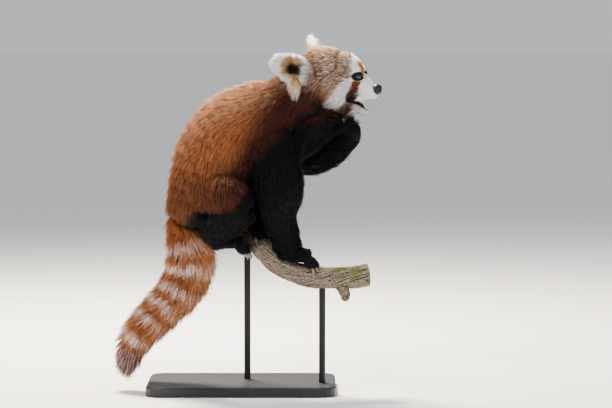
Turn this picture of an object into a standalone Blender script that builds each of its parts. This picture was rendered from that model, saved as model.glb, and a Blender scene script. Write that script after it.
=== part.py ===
"""Life-size red panda that stands on a short cut branch, held by a plain display stand.

The tables are in millimetres and everything else is in metres. +X is the way the animal faces, +Y
is its left side and +Z is up. The origin is the middle of the underside of the stand's base.

Each piece of the body is one closed surface, made from oval limbs and masses, and gives way to the
pieces that come before it, so they meet face to face. The coat is made of flat, tapered locks that
start under that surface and follow the lie of the fur out to the true outline.
"""

import math
import random

import bmesh
import bpy
from mathutils import Euler, Matrix, Vector, noise
from mathutils.bvhtree import BVHTree

MM = 0.001
GAP = 0.0003  # kept between pieces that meet
WIDE = 0.0006  # kept between the flesh of two pieces, so that a lock's cut never grazes it

# The driving sizes, in millimetres
HEAD_VOXEL = 3.0
LEG_VOXEL = 5.0
EYE_RADIUS = 8.0
BASE_LENGTH = 350.0
BASE_WIDTH = 240.0
BASE_HEIGHT = 18.0
ROD_RADIUS = 6.0
BRANCH_KNOT = 4.0  # how far the bark swells and sinks
FLAT_ENOUGH = (1.2, 0.8, 0.5, 0.25, 0.1)  # degrees between faces that are joined, tried in turn
TINY = 1e-7  # corners closer than this count as one
CLOSE = 2e-6  # corners closer than this are made one
TRIES = 9  # how often a piece's locks are drawn again where their union doesn't come out sound
LOCK_SINK = 7.0  # how far a lock's root lies under the surface
LOCK_BEND = math.radians(16)  # the most that a lock bends from one step to the next

# The head's own frame: where its middle is, and its roll, pitch and yaw in degrees
HEAD_CENTRE = (166, -6, 584)
HEAD_TURN = (4, 3, -12)

# Limbs: a row is x, y, z of the middle, the half size in the plane of the bend, the half size across
TORSO = [
    (-86, 0, 342, 58, 66),
    (-70, 0, 390, 68, 80),
    (-47, 0, 439, 78, 88),
    (-14, 0, 480, 80, 88),
    (24, 0, 506, 73, 83),
    (61, 0, 520, 66, 76),
    (89, 0, 532, 61, 68),
]
NECK = [
    (70, 0, 524, 60, 66),
    (106, -1, 545, 62, 66),
    (136, -3, 563, 60, 64),
]
BIB = [
    (84, 0, 462, 46, 50),
    (118, -1, 480, 42, 44),
    (150, -3, 500, 36, 40),
    (172, -2, 508, 32, 32),
]
TAIL = [
    (-100, 0, 362, 28, 28),
    (-113, 0, 326, 30, 31),
    (-106, 0, 294, 39, 38),
    (-97, 0, 259, 48, 45),
    (-100, 0, 221, 49, 47),
    (-119, 0, 184, 45, 46),
    (-148, -1, 151, 42, 42),
    (-177, -2, 121, 39, 39),
    (-198, -3, 92, 34, 34),
    (-209, -4, 64, 28, 28),
    (-213, -4, 50, 22, 22),
]
RIGHT_FORELEG = [
    (56, -40, 480, 46, 30),
    (64, -50, 428, 48, 36),
    (72, -54, 380, 46, 40),
    (72, -49, 334, 34, 33),
    (80, -43, 296, 30, 29),
    (90, -40, 272, 26, 27),
]
LEFT_FORELEG = [
    (60, 38, 480, 44, 30),
    (94, 46, 448, 44, 38),
    (128, 42, 440, 42, 35),
    (158, 28, 453, 42, 31),
    (182, 15, 470, 37, 29),
]
RIGHT_THIGH = [(-76, -40, 398, 58, 36), (-40, -57, 376, 50, 36), (0, -63, 352, 36, 30)]
RIGHT_SHANK = [(0, -62, 346, 36, 27), (-30, -54, 319, 40, 28), (-52, -42, 292, 29, 25)]
LEFT_THIGH = [(-76, 40, 398, 58, 36), (-24, 60, 392, 48, 34), (30, 66, 386, 34, 29)]
LEFT_SHANK = [(34, 65, 380, 37, 26), (30, 54, 350, 38, 27), (10, 38, 324, 30, 24)]

# Paws: from wrist or heel to the roots of the toes
RIGHT_FOREPAW = [(82, -40, 268, 20, 24), (100, -39, 258, 18, 27), (122, -38, 255, 15, 27)]
LEFT_FOREPAW = [(184, 12, 458, 24, 24), (200, 7, 472, 23, 27), (207, 2, 487, 18, 26)]
RIGHT_HINDPAW = [(-46, -40, 283, 18, 20), (-26, -38, 281, 16, 23), (-4, -34, 279, 14, 24)]
LEFT_HINDPAW = [(4, 34, 318, 19, 20), (24, 16, 312, 16, 22), (42, 0, 300, 14, 23)]

# The cut branch: x, y, z of the middle and its radius, from the end hidden behind the animal
BRANCH = [
    (-22, 94, 290, 22),
    (-8, 60, 290, 22),
    (10, 27, 286, 22),
    (30, -2, 275, 21),
    (47, -22, 257, 19),
    (66, -34, 239, 18),
    (100, -38, 222, 19),
    (140, -36, 214, 21),
    (190, -30, 213, 22),
    (236, -22, 217, 20),
]
STUB = [(186, -33, 204, 15, 15), (191, -38, 188, 11, 11), (194, -41, 176, 9, 9)]  # of a lost twig
ROD_FEET = ((10, 27), (150, -35))  # x and y of the two rods

# Ears in the head's frame: root, tip and the way the cup faces
EARS = {
    "ear_right": ((-29, -52, 6), (-85, -76, 29), (0.4, -0.9, 0.15)),
    "ear_left": ((-27, 52, 20), (-56, 92, 54), (0.8, 0.25, 0.4)),
}

# The coat of a piece: how far its flesh lies under the outline, how far its locks rise from that,
# their length and width, the space from row to row and that from lock to lock, and the steps in
# which a lock bends
COAT = {
    "torso": (9, 11, 94, 55, 68, 60, 3),
    "neck": (8, 9, 68, 46, 38, 54, 3),
    "bib": (6, 8, 52, 42, 46, 60, 2),
    "tail": (14, 18, 90, 46, 58, 42, 3),
    "foreleg": (6, 7, 64, 38, 54, 52, 2),
    "thigh": (6, 7, 64, 40, 52, 54, 2),
    "shank": (5, 6, 48, 30, 44, 48, 2),
}

# Each piece's limbs, with the kind of coat, the roundness of the ends, and how the coat flows: along
# the limb or back, how much it sags, where its first row lies and how far it may pass the end
LIMBS = {
    "torso": [(TORSO, "torso", 0.5, (-1, 0.3, 6, 80))],
    "neck": [
        (NECK, "neck", 0.7, (-1, 0.15, 34, 60)),
        (BIB, "bib", 0.7, (-1, 0.6, 30, 20)),
    ],
    "foreleg_right": [(RIGHT_FORELEG, "foreleg", 0.7, (1, 0.0, 26, 60))],
    "foreleg_left": [(LEFT_FORELEG, "foreleg", 0.7, (1, 0.0, 20, 60))],
    "hindleg_right": [
        (RIGHT_THIGH, "thigh", 0.7, (1, 0.5, 4, 60)),
        (RIGHT_SHANK, "shank", 0.7, (1, 0.0, 12, 60)),
    ],
    "hindleg_left": [
        (LEFT_THIGH, "thigh", 0.7, (1, 0.5, 4, 60)),
        (LEFT_SHANK, "shank", 0.7, (1, 0.0, 12, 60)),
    ],
    "tail": [(TAIL, "tail", 0.7, (1, 0.0, 10, 4))],
}
# Rings and sides of the tubes in each piece, and the faces left where two are fused
CORES = {
    "foreleg_right": (7, 12, 0),
    "foreleg_left": (7, 12, 0),
    "hindleg_right": (8, 18, 280),
    "hindleg_left": (8, 18, 280),
    "neck": (4, 16, 300),
    "tail": (14, 12, 0),
    "torso": (10, 16, 0),
}


def millimetres(values):
    return Vector(values) * MM


def smooth_row(rows, u):
    """A table read at u, counted in rows, on a smooth curve through the rows."""
    last = len(rows) - 1
    i = min(max(int(math.floor(u)), 0), last - 1)
    t = u - i
    before, here = rows[max(i - 1, 0)], rows[i]
    after, beyond = rows[i + 1], rows[min(i + 2, last)]
    return [
        b + 0.5 * t * (c - a + t * (2 * a - 5 * b + 4 * c - d + t * (3 * b - a - 3 * c + d)))
        for a, b, c, d in zip(before, here, after, beyond)
    ]


class Limb:
    """A smooth oval tube with round ends. u counts the rows of its table, and runs one past them."""

    def __init__(self, rows, thinner=0.0, dome=0.7):
        self.rows = [(*row[:3], row[3] - thinner, row[4] - thinner) for row in rows]
        self.dome = dome
        self.last = len(rows) - 1

    def middle(self, u):
        return Vector(smooth_row(self.rows, u)[:3]) * MM

    def heading(self, u):
        low, high = max(u - 0.05, 0), min(u + 0.05, self.last)
        return (self.middle(high) - self.middle(low)).normalized()

    def point(self, u, angle):
        inside = min(max(u, 0), self.last)
        over = (u - inside) * math.pi / 2
        along = self.heading(inside)
        across = Vector((0, 1, 0))
        across = (across - along * across.dot(along)).normalized()
        rise = along.cross(across)
        deep, wide = smooth_row(self.rows, inside)[3:5]
        deep, wide = deep * MM, wide * MM
        middle = self.middle(inside) + along * math.sin(over) * self.dome * min(deep, wide)
        return middle + (rise * math.cos(angle) * deep + across * math.sin(angle) * wide) * math.cos(over)

    def stops(self, space, start=0.0):
        """Places along the limb, one space apart, as values of u."""
        found = []
        travelled, due = 0.0, start
        steps = 40 * self.last
        before = self.middle(0)
        for k in range(steps + 1):
            u = self.last * k / steps
            here = self.middle(u)
            travelled += (here - before).length
            before = here
            if travelled >= due * MM:
                found.append(u)
                due += space
        return found

    def mesh(self, rings, sides, caps=(0.33, 0.66)):
        """A closed mesh of the tube."""
        inner = [self.last * k / rings for k in range(rings + 1)]
        heights = [-c for c in reversed(caps)] + inner + [self.last + c for c in caps]
        shape = bmesh.new()
        hoops = [
            [shape.verts.new(self.point(u, 2 * math.pi * k / sides)) for k in range(sides)]
            for u in heights
        ]
        tips = [shape.verts.new(self.point(u, 0)) for u in (-1, self.last + 1)]
        for low, high in zip(hoops, hoops[1:]):
            for k in range(sides):
                n = (k + 1) % sides
                shape.faces.new((low[k], high[k], high[n], low[n]))
        for k in range(sides):
            n = (k + 1) % sides
            shape.faces.new((hoops[0][k], hoops[0][n], tips[0]))
            shape.faces.new((hoops[-1][n], hoops[-1][k], tips[1]))
        bmesh.ops.recalc_face_normals(shape, faces=shape.faces)
        return finished(shape, "limb")


def finished(shape, name):
    """Makes the working shape a mesh of triangles."""
    bmesh.ops.triangulate(shape, faces=shape.faces)
    mesh = bpy.data.meshes.new(name)
    shape.to_mesh(mesh)
    shape.free()
    return mesh


def new_object(name, mesh, material=None):
    thing = bpy.data.objects.new(name, mesh)
    bpy.context.scene.collection.objects.link(thing)
    if material:
        mesh.materials.clear()
        mesh.materials.append(material)
    return thing


def mass(centre, radii, turn=(0, 0, 0), detail=3):
    """A closed oval mass, with centre and radii in millimetres and turn in degrees."""
    shape = bmesh.new()
    bmesh.ops.create_icosphere(shape, subdivisions=detail, radius=1)
    place = Matrix.LocRotScale(
        millimetres(centre),
        Euler([math.radians(a) for a in turn]),
        millimetres(radii),
    )
    bmesh.ops.transform(shape, matrix=place, verts=shape.verts)
    return finished(shape, "mass")


def joined(meshes, place=None):
    """Several meshes as one, which may still cross each other."""
    shape = bmesh.new()
    for mesh in meshes:
        shape.from_mesh(mesh)
        bpy.data.meshes.remove(mesh)
    if place:
        bmesh.ops.transform(shape, matrix=place, verts=shape.verts)
    return finished(shape, "joined")


def as_seen(thing):
    """Turns the object's modifiers into its mesh."""
    graph = bpy.context.evaluated_depsgraph_get()
    seen = bpy.data.meshes.new_from_object(thing.evaluated_get(graph))
    thing.modifiers.clear()
    shape = bmesh.new()
    shape.from_mesh(seen)
    old = thing.data
    thing.data = finished(shape, thing.name)
    bpy.data.meshes.remove(old)
    bpy.data.meshes.remove(seen)
    return thing


def fused_surface(name, meshes, voxel, faces, place=None, rounds=4):
    """One smooth closed surface round masses that cross each other, of about that many faces."""
    thing = new_object(name, joined(meshes, place))
    remesh = thing.modifiers.new("fuse", "REMESH")
    remesh.mode = "VOXEL"
    remesh.voxel_size = voxel * MM
    as_seen(thing)
    soften = thing.modifiers.new("soften", "SMOOTH")
    soften.factor = 0.5
    soften.iterations = rounds
    triangles = 2 * len(thing.data.polygons)
    fewer = thing.modifiers.new("fewer", "DECIMATE")
    fewer.ratio = min(1.0, faces / triangles)
    fewer.use_collapse_triangulate = True
    return as_seen(thing)


def parts_of(shape):
    """The separate closed surfaces of a mesh, as lists of faces."""
    left = set(shape.faces)
    found = []
    while left:
        start = left.pop()
        piece, edge = [start], [start]
        while edge:
            face = edge.pop()
            for side in face.edges:
                for other in side.link_faces:
                    if other in left:
                        left.remove(other)
                        piece.append(other)
                        edge.append(other)
        found.append(piece)
    return found


def volume_of(faces):
    """The volume inside triangles that close a surface."""
    total = 0.0
    for face in faces:
        a, b, c = (v.co for v in face.verts)
        total += a.dot(b.cross(c)) / 6
    return total


def lowest_of(faces):
    return min(v.co.z for face in faces for v in face.verts)


def keep_one(thing, rank=lambda faces: -abs(volume_of(faces))):
    """Of the closed surfaces in the object's mesh, keeps the one that ranks first: the largest."""
    shape = bmesh.new()
    shape.from_mesh(thing.data)
    bmesh.ops.remove_doubles(shape, verts=shape.verts, dist=CLOSE)
    bmesh.ops.dissolve_degenerate(shape, dist=CLOSE, edges=shape.edges)
    bmesh.ops.triangulate(shape, faces=shape.faces)
    pieces = sorted(parts_of(shape), key=rank)
    spare = [face for faces in pieces[1:] for face in faces]
    bmesh.ops.delete(shape, geom=spare, context="FACES")
    loose = [v for v in shape.verts if not v.link_faces]
    bmesh.ops.delete(shape, geom=loose, context="VERTS")
    shape.to_mesh(thing.data)
    shape.free()
    thing["sound"] = thin_out(thing.data)
    return thing


def is_sound(shape):
    """Whether every edge has two faces, and no two corners or edges lie in one place."""
    shape.verts.index_update()
    places = {tuple(round(c / TINY) for c in v.co) for v in shape.verts}
    pairs = {frozenset(v.index for v in e.verts) for e in shape.edges}
    closed = all(len(e.link_faces) == 2 for e in shape.edges)
    return closed and len(places) == len(shape.verts) and len(pairs) == len(shape.edges)


def thin_out(mesh):
    """Joins triangles that lie flat to each other, as far as the mesh stays sound."""
    for angle in FLAT_ENOUGH:
        shape = bmesh.new()
        shape.from_mesh(mesh)
        limit = math.radians(angle)
        bmesh.ops.dissolve_limit(shape, angle_limit=limit, verts=shape.verts, edges=shape.edges)
        bmesh.ops.triangulate(shape, faces=shape.faces)
        good = is_sound(shape)
        if good:
            shape.to_mesh(mesh)
        shape.free()
        if good:
            return True
    return False


def combine(thing, tools, operation, solver="MANIFOLD"):
    """One Boolean of the object with a list of helper objects, applied, with the helpers removed."""
    if not tools:
        return thing
    group = bpy.data.collections.new("tools")
    bpy.context.scene.collection.children.link(group)
    for tool in tools:
        bpy.context.scene.collection.objects.unlink(tool)
        group.objects.link(tool)
    step = thing.modifiers.new("combine", "BOOLEAN")
    step.operation = operation
    step.operand_type = "COLLECTION"
    step.collection = group
    step.solver = solver
    as_seen(thing)
    for tool in tools:
        bpy.data.objects.remove(tool)
    bpy.data.collections.remove(group)
    return thing


def grown(mesh, by=GAP):
    """A copy of a closed mesh, swollen by a hair, to cut its neighbours clear of it."""
    shape = bmesh.new()
    shape.from_mesh(mesh)
    shape.normal_update()
    moves = [v.normal * min(v.calc_shell_factor(), 3) * by for v in shape.verts]
    for vertex, move in zip(shape.verts, moves):
        vertex.co += move
    return new_object("swollen", finished(shape, "swollen"))


def box_of(thing):
    corners = [v.co for v in thing.data.vertices]
    low = Vector([min(c[k] for c in corners) for k in range(3)])
    high = Vector([max(c[k] for c in corners) for k in range(3)])
    return low, high


def near(thing, other):
    """Whether the boxes of two objects meet."""
    (low, high), (other_low, other_high) = box_of(thing), box_of(other)
    return all(low[k] < other_high[k] + GAP and other_low[k] < high[k] + GAP for k in range(3))


def make_room(thing, others, gap=GAP, openings=(), solver="MANIFOLD"):
    """Cuts the object clear of the others, which keep their shape."""
    close = [other for other in others if near(thing, other)]
    cutters = [grown(other.data, gap * share) for other in close for share in (1, 0)]
    combine(thing, [*cutters, *openings], "DIFFERENCE", solver)
    return keep_one(thing)


def finish_of(name, colour, roughness):
    material = bpy.data.materials.new(name)
    material.use_nodes = True
    shader = material.node_tree.nodes["Principled BSDF"]
    shader.inputs["Base Color"].default_value = (*colour, 1)
    shader.inputs["Roughness"].default_value = roughness
    material.diffuse_color = (*colour, 1)
    return material


def head_place():
    """The head's frame: its own +X is the way the nose points."""
    roll, pitch, yaw = (math.radians(a) for a in HEAD_TURN)
    turn = Euler((roll, pitch, yaw)).to_matrix().to_4x4()
    return Matrix.Translation(millimetres(HEAD_CENTRE)) @ turn


# Coat locks

def follow(tree, start, way, step, count):
    """A line of places on a surface, with the way each faces, which bends no more than a lock may."""
    spot, facing = tree.find_nearest(start)[:2]
    heading = (way - facing * way.dot(facing)).normalized()
    line = [(spot, facing, heading)]
    for _ in range(count):
        ahead, out = tree.find_nearest(spot + heading * step)[:2]
        turn = (ahead - spot).normalized() or heading
        angle = turn.angle(heading)
        if angle > LOCK_BEND:
            turn = heading.slerp(turn, LOCK_BEND / angle)
        spot = spot + turn * step
        heading = turn
        out = (out - heading * out.dot(heading)).normalized()
        line.append((spot, out, heading))
    return line


def lock_mesh(line, width, lift, sink=LOCK_SINK):
    """A closed flat lock along a line: three-cornered hoops that start sunk and narrow to a tip."""
    # For each hoop the heights of its edges and of its ridge, and its share of the width
    if len(line) == 4:
        hoops = [(-sink, 2 - sink, 0.6), (-1.5, 0.8 * lift, 1.0), (0.1 * lift, lift, 0.8)]
    else:
        hoops = [(-sink, 2 - sink, 0.6), (-0.5, lift, 1.0)]
    shape = bmesh.new()
    rows = []
    for (spot, out, heading), (edge, ridge, share) in zip(line, hoops):
        half = heading.cross(out).normalized() * width * share / 2 * MM
        rows.append((
            shape.verts.new(spot + out * edge * MM - half),
            shape.verts.new(spot + out * ridge * MM),
            shape.verts.new(spot + out * edge * MM + half),
        ))
    spot, out, _ = line[-1]
    tip = shape.verts.new(spot + out * 0.7 * lift * MM)
    shape.faces.new(rows[0])
    for low, high in zip(rows, rows[1:]):
        for k in range(3):
            n = (k + 1) % 3
            shape.faces.new((low[k], high[k], high[n], low[n]))
    for k in range(3):
        shape.faces.new((rows[-1][k], tip, rows[-1][(k + 1) % 3]))
    bmesh.ops.recalc_face_normals(shape, faces=shape.faces)
    return finished(shape, "lock")


def surface_of(thing):
    shape = bmesh.new()
    shape.from_mesh(thing.data)
    tree = BVHTree.FromBMesh(shape)
    shape.free()
    return tree


def inside(tree, spot, by):
    """Whether a point lies more than that many millimetres inside a closed surface."""
    if (tree.find_nearest(spot)[0] - spot).length < by * MM:
        return False
    crossings = 0
    ahead = Vector((0.31, 0.17, 0.94)).normalized()
    hit = tree.ray_cast(spot, ahead)[0]
    while hit and crossings < 20:
        crossings += 1
        hit = tree.ray_cast(hit + ahead * 1e-6, ahead)[0]
    return crossings % 2 == 1


def limb_locks(tree, limb, coat, seed, hidden, along, sag, start, spill):
    """Staggered rows of locks over a limb, that leave out roots hidden inside other pieces."""
    _, rise, length, width, row_space, space, steps = coat
    end = limb.point(limb.last + 1 if along > 0 else -1, 0)
    chance = random.Random(seed)
    made = []
    for row, u in enumerate(limb.stops(row_space, start)):
        deep, wide = smooth_row(limb.rows, u)[3:5]
        girth = math.pi * (deep + wide)
        count = max(3, round(girth / space))
        for k in range(count):
            angle = 2 * math.pi * (k + 0.5 * (row % 2) + chance.uniform(-0.12, 0.12)) / count
            shift = chance.uniform(-0.12, 0.12)
            root = limb.point(u + shift, angle)
            if any(inside(other, root, 2) for other in hidden):
                continue
            way = limb.heading(min(max(u, 0), limb.last)) * along + Vector((0, 0, -sag))
            size = chance.uniform(0.88, 1.12)
            reach = min(length * size * MM, (end - root).length + spill * MM)
            if reach < 0.4 * length * MM:
                continue
            line = follow(tree, root, way, reach / steps, steps)
            if any(inside(other, line[-1][0], 12) for other in hidden):
                continue
            lift = rise * chance.uniform(0.85, 1.0)
            made.append(new_object("lock", lock_mesh(line, width * size, lift)))
    return made


def tuft(root, way, bend, out, length):
    """A free line of places for a lock that stands off an edge and bends."""
    heading = Vector(way).normalized()
    spot = Vector(root)
    line = []
    for _ in range(3):
        facing = (out - heading * out.dot(heading)).normalized()
        line.append((spot, facing, heading))
        spot = spot + heading * (length * MM / 2)
        heading = (heading + bend).normalized()
    return line


# Head

def head_mesh():
    """Skull, cheeks, lids, upper muzzle and lips."""
    masses = [
        mass((-8, 0, 8), (62, 60, 55)),
        mass((26, 0, 13), (42, 47, 40)),
        Limb([(38, 0, -2, 40, 38), (58, 0, -8, 31, 30), (71, 0, -16, 22, 22), (79, 0, -21, 16, 17)])
        .mesh(8, 20),
    ]
    for side in (-1, 1):
        masses.append(mass((16, 36 * side, -16), (40, 35, 38)))
        masses.append(mass((-18, 40 * side, -22), (40, 34, 40)))
        masses.append(mass((48, 20 * side, 15), (15, 14, 11)))
        masses.append(mass((54, 22 * side, 4), (11, 11, 10)))
        lip = [(34, 26 * side, -35, 6, 6), (60, 18 * side, -36, 5, 5), (79, 8 * side, -33, 5, 5)]
        masses.append(Limb(lip).mesh(6, 8))
    return fused_surface("head", masses, HEAD_VOXEL, 1040, head_place(), 3)


def jaw_mesh():
    rows = [(6, 0, -50, 25, 36), (32, 0, -57, 19, 27), (50, 0, -58, 15, 19), (60, 0, -57, 11, 13)]
    return fused_surface("lower_jaw", [Limb(rows).mesh(8, 18)], HEAD_VOXEL, 300, head_place(), 2)


def nose_mesh():
    """The nose pad with its two nostrils."""
    pad = [mass((88, 0, -15), (9, 11.5, 8)), mass((90, 0, -20), (7, 8.5, 8))]
    nose = fused_surface("nose", pad, 1.5, 200, head_place(), 3)
    holes = []
    for side in (-1, 1):
        hole = mass((96, 5.5 * side, -17), (4.5, 2.6, 2.2), (0, 0, 20 * side), 1)
        hole.transform(head_place())
        holes.append(new_object("nostril", hole))
    return combine(nose, holes, "DIFFERENCE")


def gaze(side):
    """The eye's frame: Z is the way it looks."""
    turn = Vector((0.74, 0.66 * side, 0.06)).to_track_quat("Z", "Y").to_matrix().to_4x4()
    return head_place() @ Matrix.Translation(millimetres((54, 23 * side, 4))) @ turn


def eye_mesh(side):
    shape = bmesh.new()
    bmesh.ops.create_uvsphere(shape, u_segments=12, v_segments=7, radius=EYE_RADIUS * MM)
    bmesh.ops.transform(shape, matrix=gaze(side), verts=shape.verts)
    return finished(shape, "eye")


def lid_opening(side):
    """The almond gap between the lids, as a body to cut with."""
    opening = mass((0, 0, 9), (8.5, 5.6, 6), detail=2)
    opening.transform(gaze(side))
    return new_object("opening", opening)


def ear_frame(root, tip, facing):
    """The ear's frame: X across it, Y up to its tip and Z the way its cup faces."""
    up = (Vector(tip) - Vector(root)).normalized()
    out = Vector(facing)
    out = (out - up * out.dot(up)).normalized()
    across = up.cross(out)
    turn = Matrix((across, up, out)).transposed().to_4x4()
    return head_place() @ Matrix.Translation(millimetres(root)) @ turn


def ear_mesh(name, root, tip, facing):
    """A rounded leaf of gristle and short fur with a cup hollowed out of its face."""
    length = (Vector(tip) - Vector(root)).length
    place = ear_frame(root, tip, facing)
    leaf = [mass((0, length * 0.45, 0), (26, length * 0.55, 10)), mass((0, 0, -2), (24, 22, 13))]
    ear = fused_surface(name, leaf, 2.5, 220, place, 2)
    cup = mass((0, length * 0.46, 9), (19, length * 0.4, 12), detail=2)
    cup.transform(place)
    return combine(ear, [new_object("cup", cup)], "DIFFERENCE")


def ruff_locks(tree, seed):
    """Two rows of locks down the back of each cheek."""
    place = head_place()
    chance = random.Random(seed)
    made = []
    for side in (-1, 1):
        for forward, first in ((6, 8), (-24, 12)):
            for k in range(3):
                down = first - 24 * k
                root = Vector((forward + chance.uniform(-3, 3), 70 * side, down + chance.uniform(-2, 2)))
                way = Vector((-1, 0.3 * side, -0.25 - 0.12 * k))
                line = follow(tree, place @ (root * MM), place.to_3x3() @ way, 0.022, 2)
                made.append(new_object("lock", lock_mesh(line, 34, 5)))
        root = Vector((-44, 68 * side, -2))
        line = follow(tree, place @ (root * MM), place.to_3x3() @ Vector((-0.15, 0.1 * side, -1)), 0.023, 2)
        made.append(new_object("lock", lock_mesh(line, 17, 5)))
    return made


def ear_fringe(root, tip, facing, seed):
    """Short locks round an ear's rim, that lean to its tip."""
    length = (Vector(tip) - Vector(root)).length
    place = ear_frame(root, tip, facing)
    turn = place.to_3x3()
    chance = random.Random(seed)
    made = []
    for k in range(7):
        angle = math.radians(-25 + 230 * k / 6)
        east, north = math.cos(angle), math.sin(angle)
        rim = Vector((16 * east, length * (0.45 + 0.38 * north), -2)) * MM
        climb = Vector((-north * (1 if east > 0 else -1), abs(east), 0))
        way = turn @ (Vector((east, north, 0)) * 0.5 + climb * 0.9)
        way = way + turn.col[0] * chance.uniform(-0.2, 0.2)
        line = tuft(place @ rim, way, turn @ Vector((0, 0.1, 0)), turn.col[2], chance.uniform(19, 26))
        made.append(new_object("lock", lock_mesh(line, chance.uniform(24, 30), 5, 1)))
    return made


# Paws

def toes(rows, middle, spread, length, droop, radius, palm=-1):
    """Five toes that fan from the front of a paw, each with its claw, as a list of objects."""
    front = Vector(rows[-1][:3])
    ahead = (front - Vector(rows[0][:3])).normalized()
    across = Vector((0, 1, 0))
    across = (across - ahead * across.dot(ahead)).normalized()
    below = ahead.cross(across)
    if below.z * palm < 0:
        below = -below
    made = []
    for k in range(5):
        place = (k - 2) / 2
        reach = length * (1 - 0.22 * place * place)
        root = front + across * place * spread + below * middle - ahead * 10
        bend = (ahead + across * place * 0.28 + below * droop).normalized()
        knuckle = root + bend * (reach * 0.62) - below * 1.5
        tip = knuckle + (bend + below * 0.35).normalized() * (reach * 0.38)
        line = [(*root, radius, radius), (*knuckle, radius, radius), (*tip, radius * 0.8, radius * 0.8)]
        made.append(new_object("toe", Limb(line).mesh(3, 5, ())))
        point = tip + (ahead + below * 0.9).normalized() * radius * 1.3
        hook = point + below * radius * 0.6 + ahead * 0.5
        claw = [(*tip, 3.0, 2.2), (*point, 2.2, 1.7), (*hook, 0.9, 0.8)]
        made.append(new_object("claw", Limb(claw).mesh(1, 4, ())))
    return made


def paw(name, rows, middle, spread, length, droop, radius, palm=-1):
    """A paw with its toes and claws: palm is 1 where it is turned up."""
    thing = new_object(name, Limb(rows).mesh(3, 10))
    return combine(thing, toes(rows, middle, spread, length, droop, radius, palm), "UNION")


# Stand

def branch_mesh():
    """The perch: a bent branch with flat sawn ends and ridged bark."""
    steps, sides = 24, 10
    last = len(BRANCH) - 1
    shape = bmesh.new()
    hoops = []
    for k in range(steps + 1):
        u = last * k / steps
        x, y, z, radius = smooth_row(BRANCH, u)
        ahead = Vector(smooth_row(BRANCH, min(u + 0.1, last))[:3])
        ahead = (ahead - Vector(smooth_row(BRANCH, max(u - 0.1, 0))[:3])).normalized()
        across = ahead.cross(Vector((0, 0, 1))).normalized()
        up = across.cross(ahead)
        hoop = []
        for n in range(sides):
            angle = 2 * math.pi * n / sides
            out = up * math.cos(angle) + across * math.sin(angle)
            grain = noise.noise(Vector((u * 0.7, math.cos(angle) * 1.6, math.sin(angle) * 1.6)))
            hoop.append(shape.verts.new((Vector((x, y, z)) + out * (radius + BRANCH_KNOT * grain)) * MM))
        hoops.append(hoop)
    for low, high in zip(hoops, hoops[1:]):
        for n in range(sides):
            m = (n + 1) % sides
            shape.faces.new((low[n], high[n], high[m], low[m]))
    shape.faces.new(hoops[0])
    shape.faces.new(hoops[-1][::-1])
    bmesh.ops.recalc_face_normals(shape, faces=shape.faces)
    return finished(shape, "branch")


def base_mesh():
    """A flat board with rounded corners and an eased top edge."""
    shape = bmesh.new()
    bmesh.ops.create_cube(shape, size=1)
    size = Matrix.Diagonal((BASE_LENGTH * MM, BASE_WIDTH * MM, BASE_HEIGHT * MM, 1))
    lift = Matrix.Translation((0, 0, BASE_HEIGHT * MM / 2))
    bmesh.ops.transform(shape, matrix=lift @ size, verts=shape.verts)
    corners = [e for e in shape.edges if abs(e.verts[0].co.z - e.verts[1].co.z) > 1e-6]
    bmesh.ops.bevel(shape, geom=corners, offset=0.03, segments=4, profile=0.5, affect="EDGES")
    rim = [e for e in shape.edges if min(v.co.z for v in e.verts) > BASE_HEIGHT * MM - 1e-6]
    rim = [e for e in rim if len(e.link_faces) == 2]
    bmesh.ops.bevel(shape, geom=rim, offset=0.003, segments=1, profile=0.5, affect="EDGES")
    return finished(shape, "base")


def rod_mesh(x, y):
    """A round rod from the base's top, which the branch then cuts to length."""
    shape = bmesh.new()
    height = 0.25
    bmesh.ops.create_cone(
        shape, cap_ends=True, segments=16, radius1=ROD_RADIUS * MM, radius2=ROD_RADIUS * MM, depth=height
    )
    middle = Vector((x * MM, y * MM, BASE_HEIGHT * MM + GAP + height / 2))
    bmesh.ops.translate(shape, vec=middle, verts=shape.verts)
    return finished(shape, "rod")


def make_stand():
    """The base, the branch and the rods between them."""
    base = new_object("stand_base", base_mesh())
    branch = new_object("perch_branch", branch_mesh())
    combine(branch, [new_object("stub", Limb(STUB, dome=0.4).mesh(3, 9, (0.5,)))], "UNION")
    keep_one(branch)
    made = [base, branch]
    for name, (x, y) in zip(("stand_rod_rear", "stand_rod_front"), ROD_FEET):
        rod = new_object(name, rod_mesh(x, y))
        combine(rod, [grown(branch.data)], "DIFFERENCE")
        made.append(keep_one(rod, lowest_of))
    return made


def limb_core(name):
    """The flesh of a limb: its tubes, fused where there are two."""
    rings, sides, faces = CORES[name]
    meshes = [tube.mesh(rings, sides) for tube in tubes_of(name)]
    if len(meshes) > 1:
        return fused_surface(name, meshes, LEG_VOXEL, faces)
    return new_object(name, meshes[0])


def tubes_of(name):
    return [Limb(rows, COAT[kind][0], dome) for rows, kind, dome, _ in LIMBS[name]]


def make_flesh(done):
    """Every piece of the animal without its locks, cut clear of those before it, and its skin."""
    things = [limb_core(name) for name in LIMBS]
    things += [head_mesh(), jaw_mesh()]
    things += [ear_mesh(name, *shape) for name, shape in EARS.items()]
    things += [
        paw("forepaw_right", RIGHT_FOREPAW, 3, 20, 34, 0.12, 8.5),
        paw("forepaw_left", LEFT_FOREPAW, 3, 19, 26, 0.9, 8.5, 1),
        paw("hindpaw_right", RIGHT_HINDPAW, 2, 18, 32, 0.45, 8),
        paw("hindpaw_left", LEFT_HINDPAW, 2, 18, 32, 0.45, 8),
    ]
    skins = {thing.name: surface_of(thing) for thing in things}
    for thing in things:
        make_room(thing, done, WIDE)
        done.append(thing)
    done += [nose_mesh(), new_object("eye_right", eye_mesh(-1)), new_object("eye_left", eye_mesh(1))]
    return skins


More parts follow.
